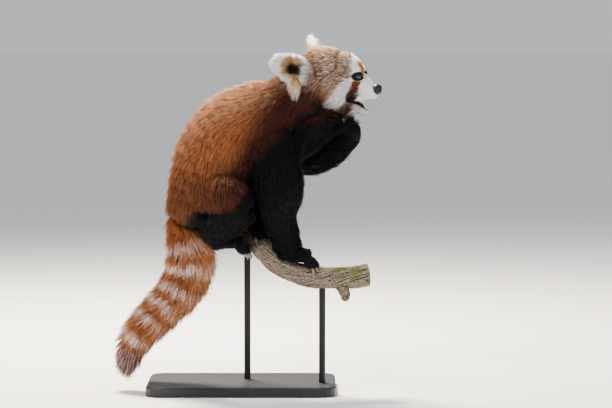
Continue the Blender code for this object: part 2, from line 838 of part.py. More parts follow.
def locks_of(name, skins, seed):
    """The coat locks that grow from one piece."""
    if name == "head":
        return ruff_locks(skins["head"], seed)
    if name in EARS:
        return ear_fringe(*EARS[name], seed)
    hidden = [skin for other, skin in skins.items() if other != name]
    made = []
    for tube, (_, kind, _, flow) in zip(tubes_of(name), LIMBS[name]):
        made += limb_locks(skins[name], tube, COAT[kind], seed, hidden, *flow)
    return made


def add_coat(done, skins):
    """Grows each piece's locks, then cuts it clear of all the others as they stand."""
    order = ["head", *EARS, *reversed(LIMBS)]
    for seed, name in enumerate(order):
        thing = next(piece for piece in done if piece.name == name)
        others = [piece for piece in done if piece is not thing]
        bare = thing.data.copy()
        for attempt in range(TRIES):
            solver = "EXACT" if attempt % 3 == 2 else "MANIFOLD"
            thing.data = bare.copy()
            keep_one(combine(thing, locks_of(name, skins, seed + attempt * len(order)), "UNION", solver))
            if not thing["sound"]:
                print(name, "is drawn again")
                continue
            lids = [lid_opening(-1), lid_opening(1)] if name == "head" else []
            gap = GAP * (1 + 0.07 * attempt)
            if make_room(thing, others, gap, lids, solver)["sound"]:
                break
            print(name, "is drawn again after its cut")


def clear_scene():
    for thing in list(bpy.data.objects):
        bpy.data.objects.remove(thing)


def main():
    clear_scene()
    done = make_stand()
    skins = make_flesh(done)
    add_coat(done, skins)
    looks = {
        "rust": finish_of("rust_fur", (0.36, 0.12, 0.03), 0.85),
        "black": finish_of("black_fur", (0.015, 0.013, 0.016), 0.8),
        "white": finish_of("white_fur", (0.8, 0.76, 0.7), 0.85),
        "eye": finish_of("eye", (0.01, 0.006, 0.004), 0.05),
        "nose": finish_of("nose", (0.012, 0.012, 0.014), 0.35),
        "bark": finish_of("bark", (0.2, 0.15, 0.11), 0.9),
        "base": finish_of("base", (0.03, 0.03, 0.032), 0.5),
        "rod": finish_of("rod", (0.05, 0.05, 0.055), 0.35),
    }
    worn = {"head": "white", "lower_jaw": "white", "nose": "nose", "perch_branch": "bark"}
    worn.update({"eye_right": "eye", "eye_left": "eye", "stand_base": "base"})
    worn.update({"stand_rod_rear": "rod", "stand_rod_front": "rod"})
    for thing in done:
        dark = "leg" in thing.name or "paw" in thing.name
        look = worn.get(thing.name, "black" if dark else "rust")
        thing.data.materials.clear()
        thing.data.materials.append(looks[look])
        thing.data.calc_loop_triangles()
        print(thing.name, len(thing.data.loop_triangles), "triangles")
    print("in all", sum(len(thing.data.loop_triangles) for thing in done))


main()
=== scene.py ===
# %% [markdown]
# # A red panda on a cut branch, dressed
#
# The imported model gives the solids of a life-size red panda that stands on a short branch, on a
# plain display stand. This script gives it its looks: one skin for the whole animal, a coat of
# solid tufts that follow the lie of the fur, eyes, nose, claws and whiskers, a branch with bark,
# and painted finishes for the stand. Everything is in metres, with +Z up and the nose towards +X.

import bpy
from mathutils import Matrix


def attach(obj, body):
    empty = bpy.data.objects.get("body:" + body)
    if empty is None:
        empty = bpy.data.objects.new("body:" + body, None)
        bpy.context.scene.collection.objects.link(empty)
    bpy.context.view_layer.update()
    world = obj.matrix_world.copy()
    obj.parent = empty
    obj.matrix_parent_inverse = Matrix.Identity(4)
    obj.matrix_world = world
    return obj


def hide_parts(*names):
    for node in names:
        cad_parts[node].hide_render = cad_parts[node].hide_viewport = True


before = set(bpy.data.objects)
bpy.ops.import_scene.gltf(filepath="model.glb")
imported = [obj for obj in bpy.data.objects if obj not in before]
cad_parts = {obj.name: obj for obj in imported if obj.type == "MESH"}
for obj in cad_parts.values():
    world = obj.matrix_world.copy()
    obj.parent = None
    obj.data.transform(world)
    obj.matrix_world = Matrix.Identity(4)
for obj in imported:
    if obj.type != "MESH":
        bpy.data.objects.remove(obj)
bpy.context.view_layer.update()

# %% [markdown]
# ## Tools for the whole lesson
#
# Sizes are easiest to read in millimetres, and colours as the hex values of a colour picker. A
# picker's values are meant for a screen, and the renderer counts light, so one function turns them
# to linear light. Random draws come from seeded generators, so that each run gives the same coat.

# %% Units, colours and random draws
import math

import bmesh
import bpy
import numpy as np
from mathutils import Euler, Matrix, Vector, kdtree, noise

MM = 0.001
chance = np.random.default_rng(20)


def linear(hex_value):
    """An sRGB hex colour as linear light."""
    parts = [int(hex_value[k : k + 2], 16) / 255 for k in (1, 3, 5)]
    return tuple(c / 12.92 if c <= 0.04045 else ((c + 0.055) / 1.055) ** 2.4 for c in parts)


def tint(hex_value):
    """The same as an array, for sums."""
    return np.array(linear(hex_value))


def step_up(low, high, values):
    """0 below low, 1 above high, and a smooth rise between them."""
    t = np.clip((values - low) / (high - low), 0, 1)
    return t * t * (3 - 2 * t)


def unit(vectors):
    """The vectors at length 1, with a guard for those of no length."""
    return vectors / np.maximum(np.linalg.norm(vectors, axis=-1, keepdims=True), 1e-9)


# %% [markdown]
# ## The driving sizes
#
# A limb is a row of ovals along a bent line. Each row holds the middle of an oval and its two half
# sizes, out to the tips of the fur: first in the plane of the bend, then across it. Nearly all of
# these sizes made the solids too, so the skin and the coat stay in step with them.

# %% The body's rows, in millimetres
TORSO = [
    (-86, 0, 342, 58, 66),
    (-70, 0, 390, 68, 80),
    (-47, 0, 439, 78, 88),
    (-14, 0, 480, 80, 88),
    (24, 0, 506, 73, 83),
    (61, 0, 520, 66, 76),
    (89, 0, 532, 61, 68),
]
NECK = [
    (70, 0, 524, 60, 66),
    (106, -1, 545, 62, 66),
    (136, -3, 563, 60, 64),
]
BIB = [
    (84, 0, 464, 50, 62),
    (118, -1, 484, 48, 58),
    (150, -3, 503, 42, 50),
    (172, -2, 510, 34, 38),
]
BELLY = [(-62, 0, 380, 48, 62), (-10, 0, 412, 56, 68), (44, 0, 454, 52, 62)]
TAIL = [
    (-100, 0, 362, 28, 28),
    (-113, 0, 326, 30, 31),
    (-106, 0, 294, 39, 38),
    (-97, 0, 259, 48, 45),
    (-100, 0, 221, 49, 47),
    (-119, 0, 184, 45, 46),
    (-148, -1, 151, 42, 42),
    (-177, -2, 121, 39, 39),
    (-198, -3, 92, 34, 34),
    (-209, -4, 64, 28, 28),
    (-213, -4, 50, 22, 22),
]
RIGHT_FORELEG = [
    (56, -40, 480, 46, 30),
    (64, -50, 428, 48, 36),
    (72, -54, 380, 46, 40),
    (72, -49, 334, 34, 33),
    (80, -43, 296, 30, 29),
    (86, -40, 272, 29, 27),
]
LEFT_FORELEG = [
    (60, 38, 480, 44, 30),
    (94, 46, 448, 44, 38),
    (128, 42, 440, 42, 35),
    (158, 28, 453, 42, 31),
    (182, 15, 470, 37, 29),
]
RIGHT_THIGH = [(-76, -40, 398, 58, 36), (-40, -57, 376, 50, 36), (0, -63, 352, 36, 30)]
RIGHT_SHANK = [(0, -62, 346, 36, 27), (-30, -54, 319, 40, 28), (-52, -42, 292, 29, 25)]
LEFT_THIGH = [(-76, 40, 398, 58, 36), (-24, 60, 392, 48, 34), (30, 66, 386, 34, 29)]
LEFT_SHANK = [(34, 65, 380, 37, 26), (30, 54, 350, 38, 27), (15, 37, 322, 34, 25)]
RIGHT_FOREPAW = [(80, -40, 268, 22, 24), (100, -39, 258, 18, 27), (122, -38, 255, 15, 27)]
LEFT_FOREPAW = [(184, 12, 458, 24, 24), (200, 7, 472, 23, 27), (207, 2, 487, 18, 26)]
RIGHT_HINDPAW = [(-46, -40, 283, 18, 20), (-26, -38, 281, 16, 23), (-4, -34, 279, 14, 24)]
LEFT_HINDPAW = [(8, 34, 318, 21, 21), (26, 16, 312, 19, 22), (42, 0, 300, 15, 23)]

# The head's own frame: its middle, and its roll, pitch and yaw in degrees
HEAD_CENTRE = (166, -6, 584)
HEAD_TURN = (4, 3, -12)
EYE_PLACE = (54, 23, 7)
EYE_RADIUS = 8.5

# Ears in the head's frame: root, tip and the way the cup faces
EARS = {
    "ear_right": ((-29, -52, 6), (-85, -76, 29), (0.4, -0.9, 0.15)),
    "ear_left": ((-27, 52, 20), (-56, 92, 54), (0.8, 0.25, 0.4)),
}

# The branch: x, y, z of the middle and its radius, and the stub of a lost twig
BRANCH = [
    (-22, 94, 290, 22),
    (-8, 60, 290, 22),
    (10, 27, 286, 22),
    (30, -2, 275, 21),
    (47, -22, 257, 19),
    (66, -34, 239, 18),
    (100, -38, 222, 19),
    (140, -36, 214, 21),
    (190, -30, 213, 22),
    (236, -22, 217, 20),
]
STUB = [(186, -33, 204, 15), (190, -37, 190, 11), (193, -40, 178, 9), (194, -41, 170, 7)]
print(len(TORSO) + len(NECK) + len(TAIL), "rows for the trunk and tail")

# %% [markdown]
# A smooth curve through the rows gives the middle and the size at any place along a limb. The
# curve is the same one that many animation tools draw through keys: it passes through every row and
# has no corner at any.


# %% Reading a table of rows
def smooth_row(rows, u):
    """A table read at u, counted in rows, on a smooth curve through the rows."""
    last = len(rows) - 1
    i = min(max(int(math.floor(u)), 0), last - 1)
    t = u - i
    before, here = rows[max(i - 1, 0)], rows[i]
    after, beyond = rows[i + 1], rows[min(i + 2, last)]
    return [
        b + 0.5 * t * (c - a + t * (2 * a - 5 * b + 4 * c - d + t * (3 * b - a - 3 * c + d)))
        for a, b, c, d in zip(before, here, after, beyond)
    ]


def stations(rows, count):
    """Places along a limb: u, middle, heading and the two half sizes, in metres."""
    found = []
    last = len(rows) - 1
    for k in range(count):
        u = last * k / (count - 1)
        here = smooth_row(rows, u)
        ahead = Vector(smooth_row(rows, min(u + 0.05, last))[:3])
        behind = Vector(smooth_row(rows, max(u - 0.05, 0))[:3])
        heading = (ahead - behind).normalized()
        found.append((u, Vector(here[:3]) * MM, heading, here[3] * MM, here[4] * MM))
    return found


def head_place():
    """The head's frame: its own +X is the way the nose points."""
    roll, pitch, yaw = (math.radians(a) for a in HEAD_TURN)
    turn = Euler((roll, pitch, yaw)).to_matrix().to_4x4()
    return Matrix.Translation(Vector(HEAD_CENTRE) * MM) @ turn


def gaze(side):
    """An eye's frame: Z is the way it looks. side is -1 for the right eye."""
    turn = Vector((0.74, 0.66 * side, 0.06)).to_track_quat("Z", "Y").to_matrix().to_4x4()
    x, y, z = EYE_PLACE
    return head_place() @ Matrix.Translation(Vector((x, y * side, z)) * MM) @ turn


def ear_frame(root, tip, facing):
    """The ear's frame: X across it, Y up to its tip and Z the way its cup faces."""
    up = (Vector(tip) - Vector(root)).normalized()
    out = Vector(facing)
    out = (out - up * out.dot(up)).normalized()
    turn = Matrix((up.cross(out), up, out)).transposed().to_4x4()
    return head_place() @ Matrix.Translation(Vector(root) * MM) @ turn


# %% [markdown]
# ## One skin
#
# Under the fur the whole animal wears one skin, with no seams at neck or hips. It could be pulled
# out of one cube by hand, but a body that must match given sizes is easier to build from many oval
# masses that cross each other. A voxel remesh then casts them as one closed surface, much as clay
# is smoothed over a rough armature. The trunk and legs need only a coarse cast, because fur hides
# them. The face and the paws are cast finer, and one Boolean union joins the casts.


# %% Oval masses
def add_mass(shape, place, centre, radii, turn=(0, 0, 0), detail=3):
    """An oval mass, with centre and radii in millimetres, in the frame given by place."""
    angles = Euler([math.radians(a) for a in turn])
    local = Matrix.LocRotScale(Vector(centre) * MM, angles, Vector(radii) * MM)
    bmesh.ops.create_icosphere(shape, subdivisions=detail, radius=1, matrix=place @ local)


def add_limb(shape, rows, depth, spacing=0.25, detail=3):
    """A chain of close oval masses along a limb, that lie depth millimetres under its outline."""
    length = sum((Vector(b[:3]) - Vector(a[:3])).length for a, b in zip(rows, rows[1:]))
    thin = sum(min(row[3], row[4]) for row in rows) / len(rows) - depth
    count = max(3, math.ceil(length / (thin * spacing)) + 1)
    for _, middle, heading, deep, wide in stations(rows, count):
        across = Vector((0, 1, 0))
        across = (across - heading * across.dot(heading)).normalized()
        rise = heading.cross(across)
        deep, wide = deep - depth * MM, wide - depth * MM
        turn = Matrix((rise, across, heading)).transposed().to_4x4()
        size = Matrix.Diagonal((deep, wide, 0.6 * min(deep, wide), 1))
        place = Matrix.Translation(middle) @ turn @ size
        bmesh.ops.create_icosphere(shape, subdivisions=detail, radius=1, matrix=place)


def new_piece(name, shape):
    """A working shape as an object."""
    mesh = bpy.data.meshes.new(name)
    shape.to_mesh(mesh)
    shape.free()
    piece = bpy.data.objects.new(name, mesh)
    bpy.context.scene.collection.objects.link(piece)
    return piece


def apply_modifiers(piece):
    """Turns the piece's modifiers into its mesh."""
    graph = bpy.context.evaluated_depsgraph_get()
    finished = bpy.data.meshes.new_from_object(piece.evaluated_get(graph))
    piece.modifiers.clear()
    old = piece.data
    piece.data = finished
    bpy.data.meshes.remove(old)
    return piece


def cast(name, shape, voxel, rounds):
    """One smooth closed surface round masses that cross each other. voxel is in millimetres."""
    piece = new_piece(name, shape)
    remesh = piece.modifiers.new("cast", "REMESH")
    remesh.mode = "VOXEL"
    remesh.voxel_size = voxel * MM
    soften = piece.modifiers.new("soften", "SMOOTH")
    soften.factor = 0.5
    soften.iterations = rounds
    return apply_modifiers(piece)


def join_or_cut(piece, tools, operation):
    """One Boolean with several helper objects, applied, with the helpers removed."""
    group = bpy.data.collections.new("helpers")
    bpy.context.scene.collection.children.link(group)
    for tool in tools:
        bpy.context.scene.collection.objects.unlink(tool)
        group.objects.link(tool)
    step = piece.modifiers.new("combine", "BOOLEAN")
    step.operation = operation
    step.operand_type = "COLLECTION"
    step.collection = group
    step.solver = "MANIFOLD"
    apply_modifiers(piece)
    for tool in tools:
        bpy.data.objects.remove(tool)
    bpy.data.collections.remove(group)
    return piece


# %% Casting the trunk and legs
SKIN_DEPTH = {"torso": 11, "neck": 10, "tail": 15.5, "foreleg": 6, "thigh": 10, "shank": 6, "paw": 3}
trunk = bmesh.new()
for rows, kind in (
    (TORSO, "torso"),
    (NECK, "neck"),
    (BIB, "neck"),
    (BELLY, "torso"),
    (TAIL, "tail"),
    (RIGHT_FORELEG, "foreleg"),
    (LEFT_FORELEG, "foreleg"),
    (RIGHT_THIGH, "thigh"),
    (LEFT_THIGH, "thigh"),
    (RIGHT_SHANK, "shank"),
    (LEFT_SHANK, "shank"),
):
    add_limb(trunk, rows, SKIN_DEPTH[kind])
BODY_VOXEL = 3.6
skin = cast("skin", trunk, BODY_VOXEL, 6)
print("trunk and legs:", len(skin.data.polygons), "faces")

# %% [markdown]
# The head starts as a round skull with full cheeks, a short tapering muzzle, brows over the eyes
# and a lip along each side of the mouth. Each mass lies under the fur by the fur's own depth, which
# is least on the muzzle and most on the cheeks. Two almond cuts open the lids. The mouth needs no
# cut: it is the gap between the lips and the lower jaw, which hangs a little below them.

# %% The head's masses, in its own frame
SKULL = (((-8, 0, 6), (53, 51, 46)), ((26, 0, 10), (36, 41, 36)))
# Slices of the muzzle: how far forward and how high, then half its depth, width and height
MUZZLE = (
    (38, -3, 12, 34, 36),
    (46, -5, 12, 30, 31.5),
    (54, -8.5, 12, 26.5, 27.5),
    (62, -12.5, 11, 23.5, 23),
    (69, -15.5, 10, 19.5, 18.5),
    (76, -18.5, 8.5, 15, 14),
)
# The upper lip from the corner of the mouth forward
LIP_SIZE = (7, 5, 5)
LIP = ((40, 25, -33), (48, 22.5, -34), (56, 19.5, -34), (64, 16, -33), (72, 12, -31.5))
# On each side: two cheeks, the brow, the lids, the lip, and the lip's front under the nose
BOTH_SIDES = (
    ((14, 32, -15), (32, 27, 30)),
    ((-16, 33, -18), (32, 27, 31)),
    ((47, 20, 17), (13, 12, 8.5)),
    ((54, 22.4, 7), (11.2, 11.2, 10.4)),
    *((spot, LIP_SIZE) for spot in LIP),
    ((81, 5.5, -29), (8.5, 7, 6.5)),
)
# Slices of the throat and the lower jaw, as for the muzzle
JAW = (
    (6, -46, 14, 29, 19),
    (20, -50, 14, 26, 17),
    (32, -52, 14, 22.5, 14),
    (42, -53.5, 14, 18.5, 11.5),
    (51, -54.5, 8, 15, 9.5),
    (60, -57.5, 8, 12.5, 7.2),
    (68, -60.5, 8, 9.5, 5.8),
)
TONGUE = ((54, 0, -46), (12, 8, 3.5), (0, 22, 0))
LID_CUT = (10.6, 6.4, 6.5)  # half sizes of a lid's opening
LID_CUT_OUT = 9.5  # how far its middle lies out along the gaze

# %% Casting the head
HEAD_VOXEL = 1.5
head = bmesh.new()
place_of_head = head_place()
for middle, radii in SKULL:
    add_mass(head, place_of_head, middle, radii)
for x, z, *radii in MUZZLE:
    add_mass(head, place_of_head, (x, 0, z), radii)
for side in (-1, 1):
    for (x, y, z), radii in BOTH_SIDES:
        add_mass(head, place_of_head, (x, y * side, z), radii)
for x, z, *radii in JAW:
    add_mass(head, place_of_head, (x, 0, z), radii)
add_mass(head, place_of_head, *TONGUE)
face = cast("face", head, HEAD_VOXEL, 3)

openings = bmesh.new()
for side in (-1, 1):
    add_mass(openings, gaze(side), (0, 0, LID_CUT_OUT), LID_CUT, detail=4)
join_or_cut(face, [new_piece("openings", openings)], "DIFFERENCE")
print("head:", len(face.data.polygons), "faces")

# %% [markdown]
# The ears are rounded leaves of gristle with a cup hollowed out of their faces. The paws are broad,
# with five toes that fan out and curl over the branch. The toes are short chains of masses, and
# each ends where its claw starts.


# %% Casting the ears
EAR_VOXEL = 1.6
# An ear's masses: how far up it as a share of its length, and how far forward in millimetres,
# then half its width, half its height as a share of the length, and half its depth
EAR_LEAF = ((0.42, 0, 22, 0.46, 7), (0.8, 0, 14, 0.3, 6))
EAR_CUP = ((0.45, 8, 16, 0.36, 11),)
EAR_ROOT = ((0, 0, -2), (21, 20, 11))


def add_ear_masses(shape, place, length, rows):
    for up, forward, wide, share, deep in rows:
        add_mass(shape, place, (0, length * up, forward), (wide, length * share, deep))


def ear_cast(name, root, tip, facing):
    """One ear: a leaf on a thick root, with the cup cut out of its face."""
    length = (Vector(tip) - Vector(root)).length
    place = ear_frame(root, tip, facing)
    leaf = bmesh.new()
    add_ear_masses(leaf, place, length, EAR_LEAF)
    add_mass(leaf, place, *EAR_ROOT)
    ear = cast(name, leaf, EAR_VOXEL, 2)
    cup = bmesh.new()
    add_ear_masses(cup, place, length, EAR_CUP)
    return join_or_cut(ear, [new_piece("cup", cup)], "DIFFERENCE")


ears = [ear_cast(name, *shape) for name, shape in EARS.items()]
print("ears:", [len(ear.data.polygons) for ear in ears], "faces")

# %% Casting the paws
TOES = 5
TOE_START = 10  # how far back in the paw a toe starts, in millimetres
KNUCKLE = 0.62  # where along a toe its knuckle is
KNUCKLE_RISE = 1.5  # in millimetres
TOE_CURL = 0.35  # how far a toe bends past its knuckle
OUTER_SHORT = 0.22  # how much shorter the outer toes are, and how far they turn out and down
OUTER_TURN = 0.28
OUTER_DROOP = 0.35


def toe_lines(rows, middle, spread, length, droop, radius, palm=-1):
    """Toes that fan from a paw's front: for each its root, knuckle and tip, its ways and radius.

    palm is -1 where the palm faces down, and 1 where it faces up.
    """
    front = Vector(rows[-1][:3])
    ahead = (front - Vector(rows[0][:3])).normalized()
    across = Vector((0, 1, 0))
    across = (across - ahead * across.dot(ahead)).normalized()
    below = ahead.cross(across)
    if below.z * palm < 0:
        below = -below
    found = []
    for k in range(TOES):
        place = 2 * k / (TOES - 1) - 1
        reach = length * (1 - OUTER_SHORT * place * place)
        root = front + across * place * spread + below * middle - ahead * TOE_START
        fall = below * (droop + OUTER_DROOP * place * place)
        bend = (ahead + across * place * OUTER_TURN + fall).normalized()
        knuckle = root + bend * (reach * KNUCKLE) - below * KNUCKLE_RISE
        tip = knuckle + (bend + below * TOE_CURL).normalized() * (reach * (1 - KNUCKLE))
        found.append((root, knuckle, tip, ahead, below, radius))
    return found


# Toes: how far under the paw's middle, how far spread, how long, how far down and how thick
PAWS = {
    "forepaw_right": (RIGHT_FOREPAW, toe_lines(RIGHT_FOREPAW, 3, 20, 34, 0.24, 8.5)),
    "forepaw_left": (LEFT_FOREPAW, toe_lines(LEFT_FOREPAW, 3, 19, 26, 0.9, 8.5, 1)),
    "hindpaw_right": (RIGHT_HINDPAW, toe_lines(RIGHT_HINDPAW, 2, 18, 32, 0.45, 8)),
    "hindpaw_left": (LEFT_HINDPAW, toe_lines(LEFT_HINDPAW, 2, 18, 32, 0.45, 8)),
}
PAW_VOXEL = 1.9
TOE_FUR = 1.6  # how far a toe's skin lies under its fur, in millimetres
paws = bmesh.new()
for rows, toes in PAWS.values():
    add_limb(paws, rows, SKIN_DEPTH["paw"])
    for root, knuckle, tip, *_, radius in toes:
        thick = radius - TOE_FUR
        radii = (thick, thick + 0.6, thick - 1)
        line = [(*spot, size, size) for spot, size in zip((root, knuckle, tip), radii)]
        add_limb(paws, line, 0, 0.5, 2)
feet = cast("feet", paws, PAW_VOXEL, 3)
join_or_cut(skin, [face, feet, *ears], "UNION")
print("skin:", len(skin.data.polygons), "faces")

# %% [markdown]
# Where the casts meet, the union leaves a crease. Smoothing every point a little would blur the
# lids, so only the points near a sharp crease are relaxed, and none on the face.


# %% Softening the joins
CREASE = 0.5  # the angle between two faces that counts as sharp, in radians
FACE_START = 30  # how far forward of the head's middle the face starts, in millimetres


def soften_joins(piece, rounds):
    """Relaxes a piece round its creases, and cuts the Boolean's larger faces into triangles."""
    shape = bmesh.new()
    shape.from_mesh(piece.data)
    bmesh.ops.remove_doubles(shape, verts=shape.verts, dist=0.02 * MM)
    bmesh.ops.dissolve_degenerate(shape, dist=0.01 * MM, edges=shape.edges)
    bmesh.ops.triangulate(shape, faces=[f for f in shape.faces if len(f.verts) > 4])
    back = head_place().inverted()
    creases = [e for e in shape.edges if len(e.link_faces) == 2 and e.calc_face_angle() > CREASE]
    sharp = {v for e in creases for v in e.verts if (back @ v.co).x < FACE_START * MM}
    for _ in range(2):
        sharp |= {e.other_vert(v) for v in sharp for e in v.link_edges}
    for _ in range(rounds):
        bmesh.ops.smooth_vert(
            shape, verts=list(sharp), factor=0.5, use_axis_x=True, use_axis_y=True, use_axis_z=True
        )
    shape.to_mesh(piece.data)
    shape.free()


soften_joins(skin, 8)
print("softened skin:", len(skin.data.polygons), "faces")
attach(skin, "root")
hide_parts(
    "head", "lower_jaw", "neck", "torso", "tail", "ear_right", "ear_left",
    "foreleg_right", "foreleg_left", "hindleg_right", "hindleg_left",
    "forepaw_right", "forepaw_left", "hindpaw_right", "hindpaw_left",
)

# %% [markdown]
# ## Where a point lies
#
# Markings, fur length and the lie of the coat all depend on where a point of the skin is: how far
# down the tail, how high on the flank, how near the eye. Each limb is read at close stations, and a
# point belongs to the limb whose middle line is nearest, measured in that limb's own half sizes.
# Near a joint two limbs count, and their lies are mixed, so that no parting shows between them.

# %% Stations along every limb
LIMBS = {
    "torso": (TORSO, -1),
    "neck": (NECK, -1),
    "bib": (BIB, -1),
    "belly": (BELLY, -1),
    "tail": (TAIL, 1),
    "foreleg_right": (RIGHT_FORELEG, 1),
    "foreleg_left": (LEFT_FORELEG, 1),
    "thigh_right": (RIGHT_THIGH, 1),
    "thigh_left": (LEFT_THIGH, 1),
    "shank_right": (RIGHT_SHANK, 1),
    "shank_left": (LEFT_SHANK, 1),
    "forepaw_right": (RIGHT_FOREPAW, 1),
    "forepaw_left": (LEFT_FOREPAW, 1),
    "hindpaw_right": (RIGHT_HINDPAW, 1),
    "hindpaw_left": (LEFT_HINDPAW, 1),
}
PARTS = [*LIMBS, "head", "ear_right", "ear_left"]
THIGH_LIE = (-0.3, 0, -0.95)  # on a bent thigh the fur runs down, not along
STATIONS = 41
BATCH = 20000  # points measured at once, so that the table of distances fits in memory
# The head as two ovals, skull and muzzle, and the place that the fur of the face runs away from
HEAD_OVALS = (((2, 0, 0), (64, 60, 56)), ((58, 0, -18), (40, 34, 38)))
FUR_PARTING = (100, 0, -8)
CHEEK_SAG = (0, 0, -0.25)
EAR_OVAL = (28, 0.62, 16)  # half width, half height as a share of the length, and half depth
BLEND = 0.1  # how wide two limbs mix, in half sizes


def in_frame(points, place):
    """Points in another frame's own millimetres."""
    back = np.array(place.inverted())
    return (points @ back[:3, :3].T + back[:3, 3]) / MM


def out_of_frame(ways, place):
    """Directions from a frame's own axes to the world's."""
    return ways @ np.array(place.to_3x3()).T


def read_limb(points, rows, sign):
    """For each point: how far off the limb it is in half sizes, its u and the way the fur lies."""
    spots = stations(rows, STATIONS)
    us = np.array([s[0] for s in spots])
    middles = np.array([s[1] for s in spots])
    headings = np.array([s[2] for s in spots])
    sizes = np.array([(s[3] + s[4]) / 2 for s in spots])
    off = np.empty(len(points))
    index = np.empty(len(points), int)
    for low in range(0, len(points), BATCH):
        part = points[low : low + BATCH]
        away = np.linalg.norm(part[:, None] - middles[None], axis=2) / sizes
        index[low : low + BATCH] = away.argmin(axis=1)
        off[low : low + BATCH] = away.min(axis=1)
    return off, us[index], headings[index] * sign


def read_body(points):
    """Everything that the coat needs to know of each point's place."""
    count = len(points)
    off = np.empty((count, len(PARTS)))
    lie = np.empty((count, len(PARTS), 3))
    us = np.zeros((count, len(PARTS)))
    for k, (rows, sign) in enumerate(LIMBS.values()):
        off[:, k], us[:, k], lie[:, k] = read_limb(points, rows, sign)
    for name in ("thigh_right", "thigh_left"):
        k = PARTS.index(name)
        knee = step_up(0.9, 1.8, us[:, k])[:, None]
        lie[:, k] = unit(np.array(THIGH_LIE) * (1 - knee) + lie[:, k] * knee)
    k = PARTS.index("head")
    local = in_frame(points, head_place())
    skull, muzzle = (np.linalg.norm((local - spot) / size, axis=1) for spot, size in HEAD_OVALS)
    off[:, k] = np.minimum(skull, muzzle)
    sag = np.array(CHEEK_SAG) * step_up(10, 50, abs(local[:, 1:2]))
    lie[:, k] = out_of_frame(unit(unit(local - FUR_PARTING) + sag), head_place())
    ears = {}
    for name, (root, tip, facing) in EARS.items():
        k = PARTS.index(name)
        place = ear_frame(root, tip, facing)
        length = (Vector(tip) - Vector(root)).length
        own = in_frame(points, place)
        ears[name] = (own, length)
        wide, share, deep = EAR_OVAL
        off[:, k] = np.linalg.norm((own - (0, length * 0.5, 0)) / (wide, length * share, deep), axis=1)
        fan = np.stack([own[:, 0] * 0.05, np.ones(count), np.zeros(count)], axis=1)
        lie[:, k] = out_of_frame(unit(fan), place)
    nearest = off.min(axis=1, keepdims=True)
    weight = np.exp(-((off - nearest) / BLEND))
    weight /= weight.sum(axis=1, keepdims=True)
    return {
        "part": off.argmin(axis=1),
        "weight": weight,
        "lie": unit((lie * weight[:, :, None]).sum(axis=1)),
        "head": local,
        "ears": ears,
        "tail_u": us[:, PARTS.index("tail")],
    }


def share_of(place, name):
    """How far each point belongs to a part, from 0 to 1."""
    return place["weight"][:, PARTS.index(name)]


# %% [markdown]
# ## The markings
#
# A red panda's back is golden rust, its flanks and neck are a deeper red brown, and its legs and
# belly are black. Here the gold on fur that faces up is partly that colour and partly painted light
# from above, and the deep brown low on the flanks and on the sides of the neck is partly painted
# shade. The tail has pale rings. The face is white round the muzzle, over the eyes and on the
# cheeks, with a rust stripe from each eye to the corner of the mouth. The same function colours
# skin and fur, and it is made from smooth steps across the places read above, with a little noise
# so that no edge is ruled. A real marking has a soft edge one hair's length wide.

# %% Colours of the coat
COLOURS = {
    "gold": tint("#cc9670"),
    # pale tips for fur that faces up: a painted highlight
    "sunlit": tint("#f5d6bb"),
    "rust": tint("#a06844"),
    "deep": tint("#482118"),
    "black": tint("#060507"),
    "ring": tint("#dbc2b8"),
    "ring_dark": tint("#985f3b"),
    "tail_end": tint("#7e6a68"),
    "white": tint("#f0f1f5"),
    "chin": tint("#cfc9c9"),
    "crown": tint("#cf9868"),
    "bridge": tint("#c47f45"),
    "temple": tint("#ab8f78"),
    "temple_dark": tint("#50392b"),
    "temple_pale": tint("#e4d8cc"),
    "stripe": tint("#73371a"),
    "stripe_dark": tint("#2a130d"),
    "fawn": tint("#bd9c74"),
    "cup": tint("#191412"),
    "lid": tint("#0b090a"),
    "mouth": tint("#241016"),
}

# Where the black starts, as x and z of the edge in millimetres
BLACK_EDGE_X = (-240, -90, -23, -12, -3, 10, 26, 47, 73, 114, 166, 260)
BLACK_EDGE_Z = (344, 346, 352, 362, 375, 396, 434, 460, 488, 508, 512, 512)
# The tail's pale rings, in rows of its table
RINGS = ((2.62, 3.2), (3.68, 4.12), (4.76, 5.18), (5.67, 6.02), (6.6, 6.94), (7.58, 7.94))
# The face from the side: height, and how far forward each edge lies
CHEEK_Z = (-62, -45, -28, -14, 0, 6)
CHEEK_BACK = (25, 16, 17, 26, 33, 39)
CHEEK_FRONT = (36, 38, 40, 44, 48, 49)
STRIPE_FRONT = (53, 55, 56, 58, 61, 62)
LID_EDGE = (13.2, 8.0)  # half width and half height of the dark lids, in millimetres
RING_EDGE = 0.07  # how soft a ring's edge is, in rows of the tail's table
# The mouth between the lips: how far forward, its upper and lower edge, and its half width
MOUTH_X = (36, 50, 62, 74)
MOUTH_TOP = (-40, -39, -38, -36)
MOUTH_LOW = (-42, -45, -51, -57)
MOUTH_HALF = (20, 15, 11, 6)


def mixed(colours, mask, colour):
    """The colours, moved towards another one by the mask's share at each point."""
    return colours + (colour - colours) * mask[:, None]


def wander(points, scale, seed):
    """Smooth noise from -1 to 1, scale in millimetres, from a few crossed waves."""
    draw = np.random.default_rng(seed)
    total = np.zeros(len(points))
    for _ in range(6):
        way = unit(draw.normal(size=3))
        total += np.sin(points @ way / (scale * MM) * draw.uniform(1.5, 4) + draw.uniform(0, 6.28))
    return total / 3


def in_mouth(local):
    """1 inside the lips, and 0 outside them."""
    x, y, z = local[:, 0], np.abs(local[:, 1]), local[:, 2]
    top = np.interp(x, MOUTH_X, MOUTH_TOP) + 1
    low = np.interp(x, MOUTH_X, MOUTH_LOW) - 1
    half = np.interp(x, MOUTH_X, MOUTH_HALF)
    return step_up(35, 37, x) * step_up(73, 71, x) * (z < top) * (z > low) * step_up(half + 1, half - 1, y)


def off_lids(points, side):
    """How far each point is off the middle of an eye's lids, in their half sizes, and how far out."""
    own = in_frame(points, gaze(side))
    return np.linalg.norm(own[:, :2] / LID_EDGE, axis=1), own[:, 2]


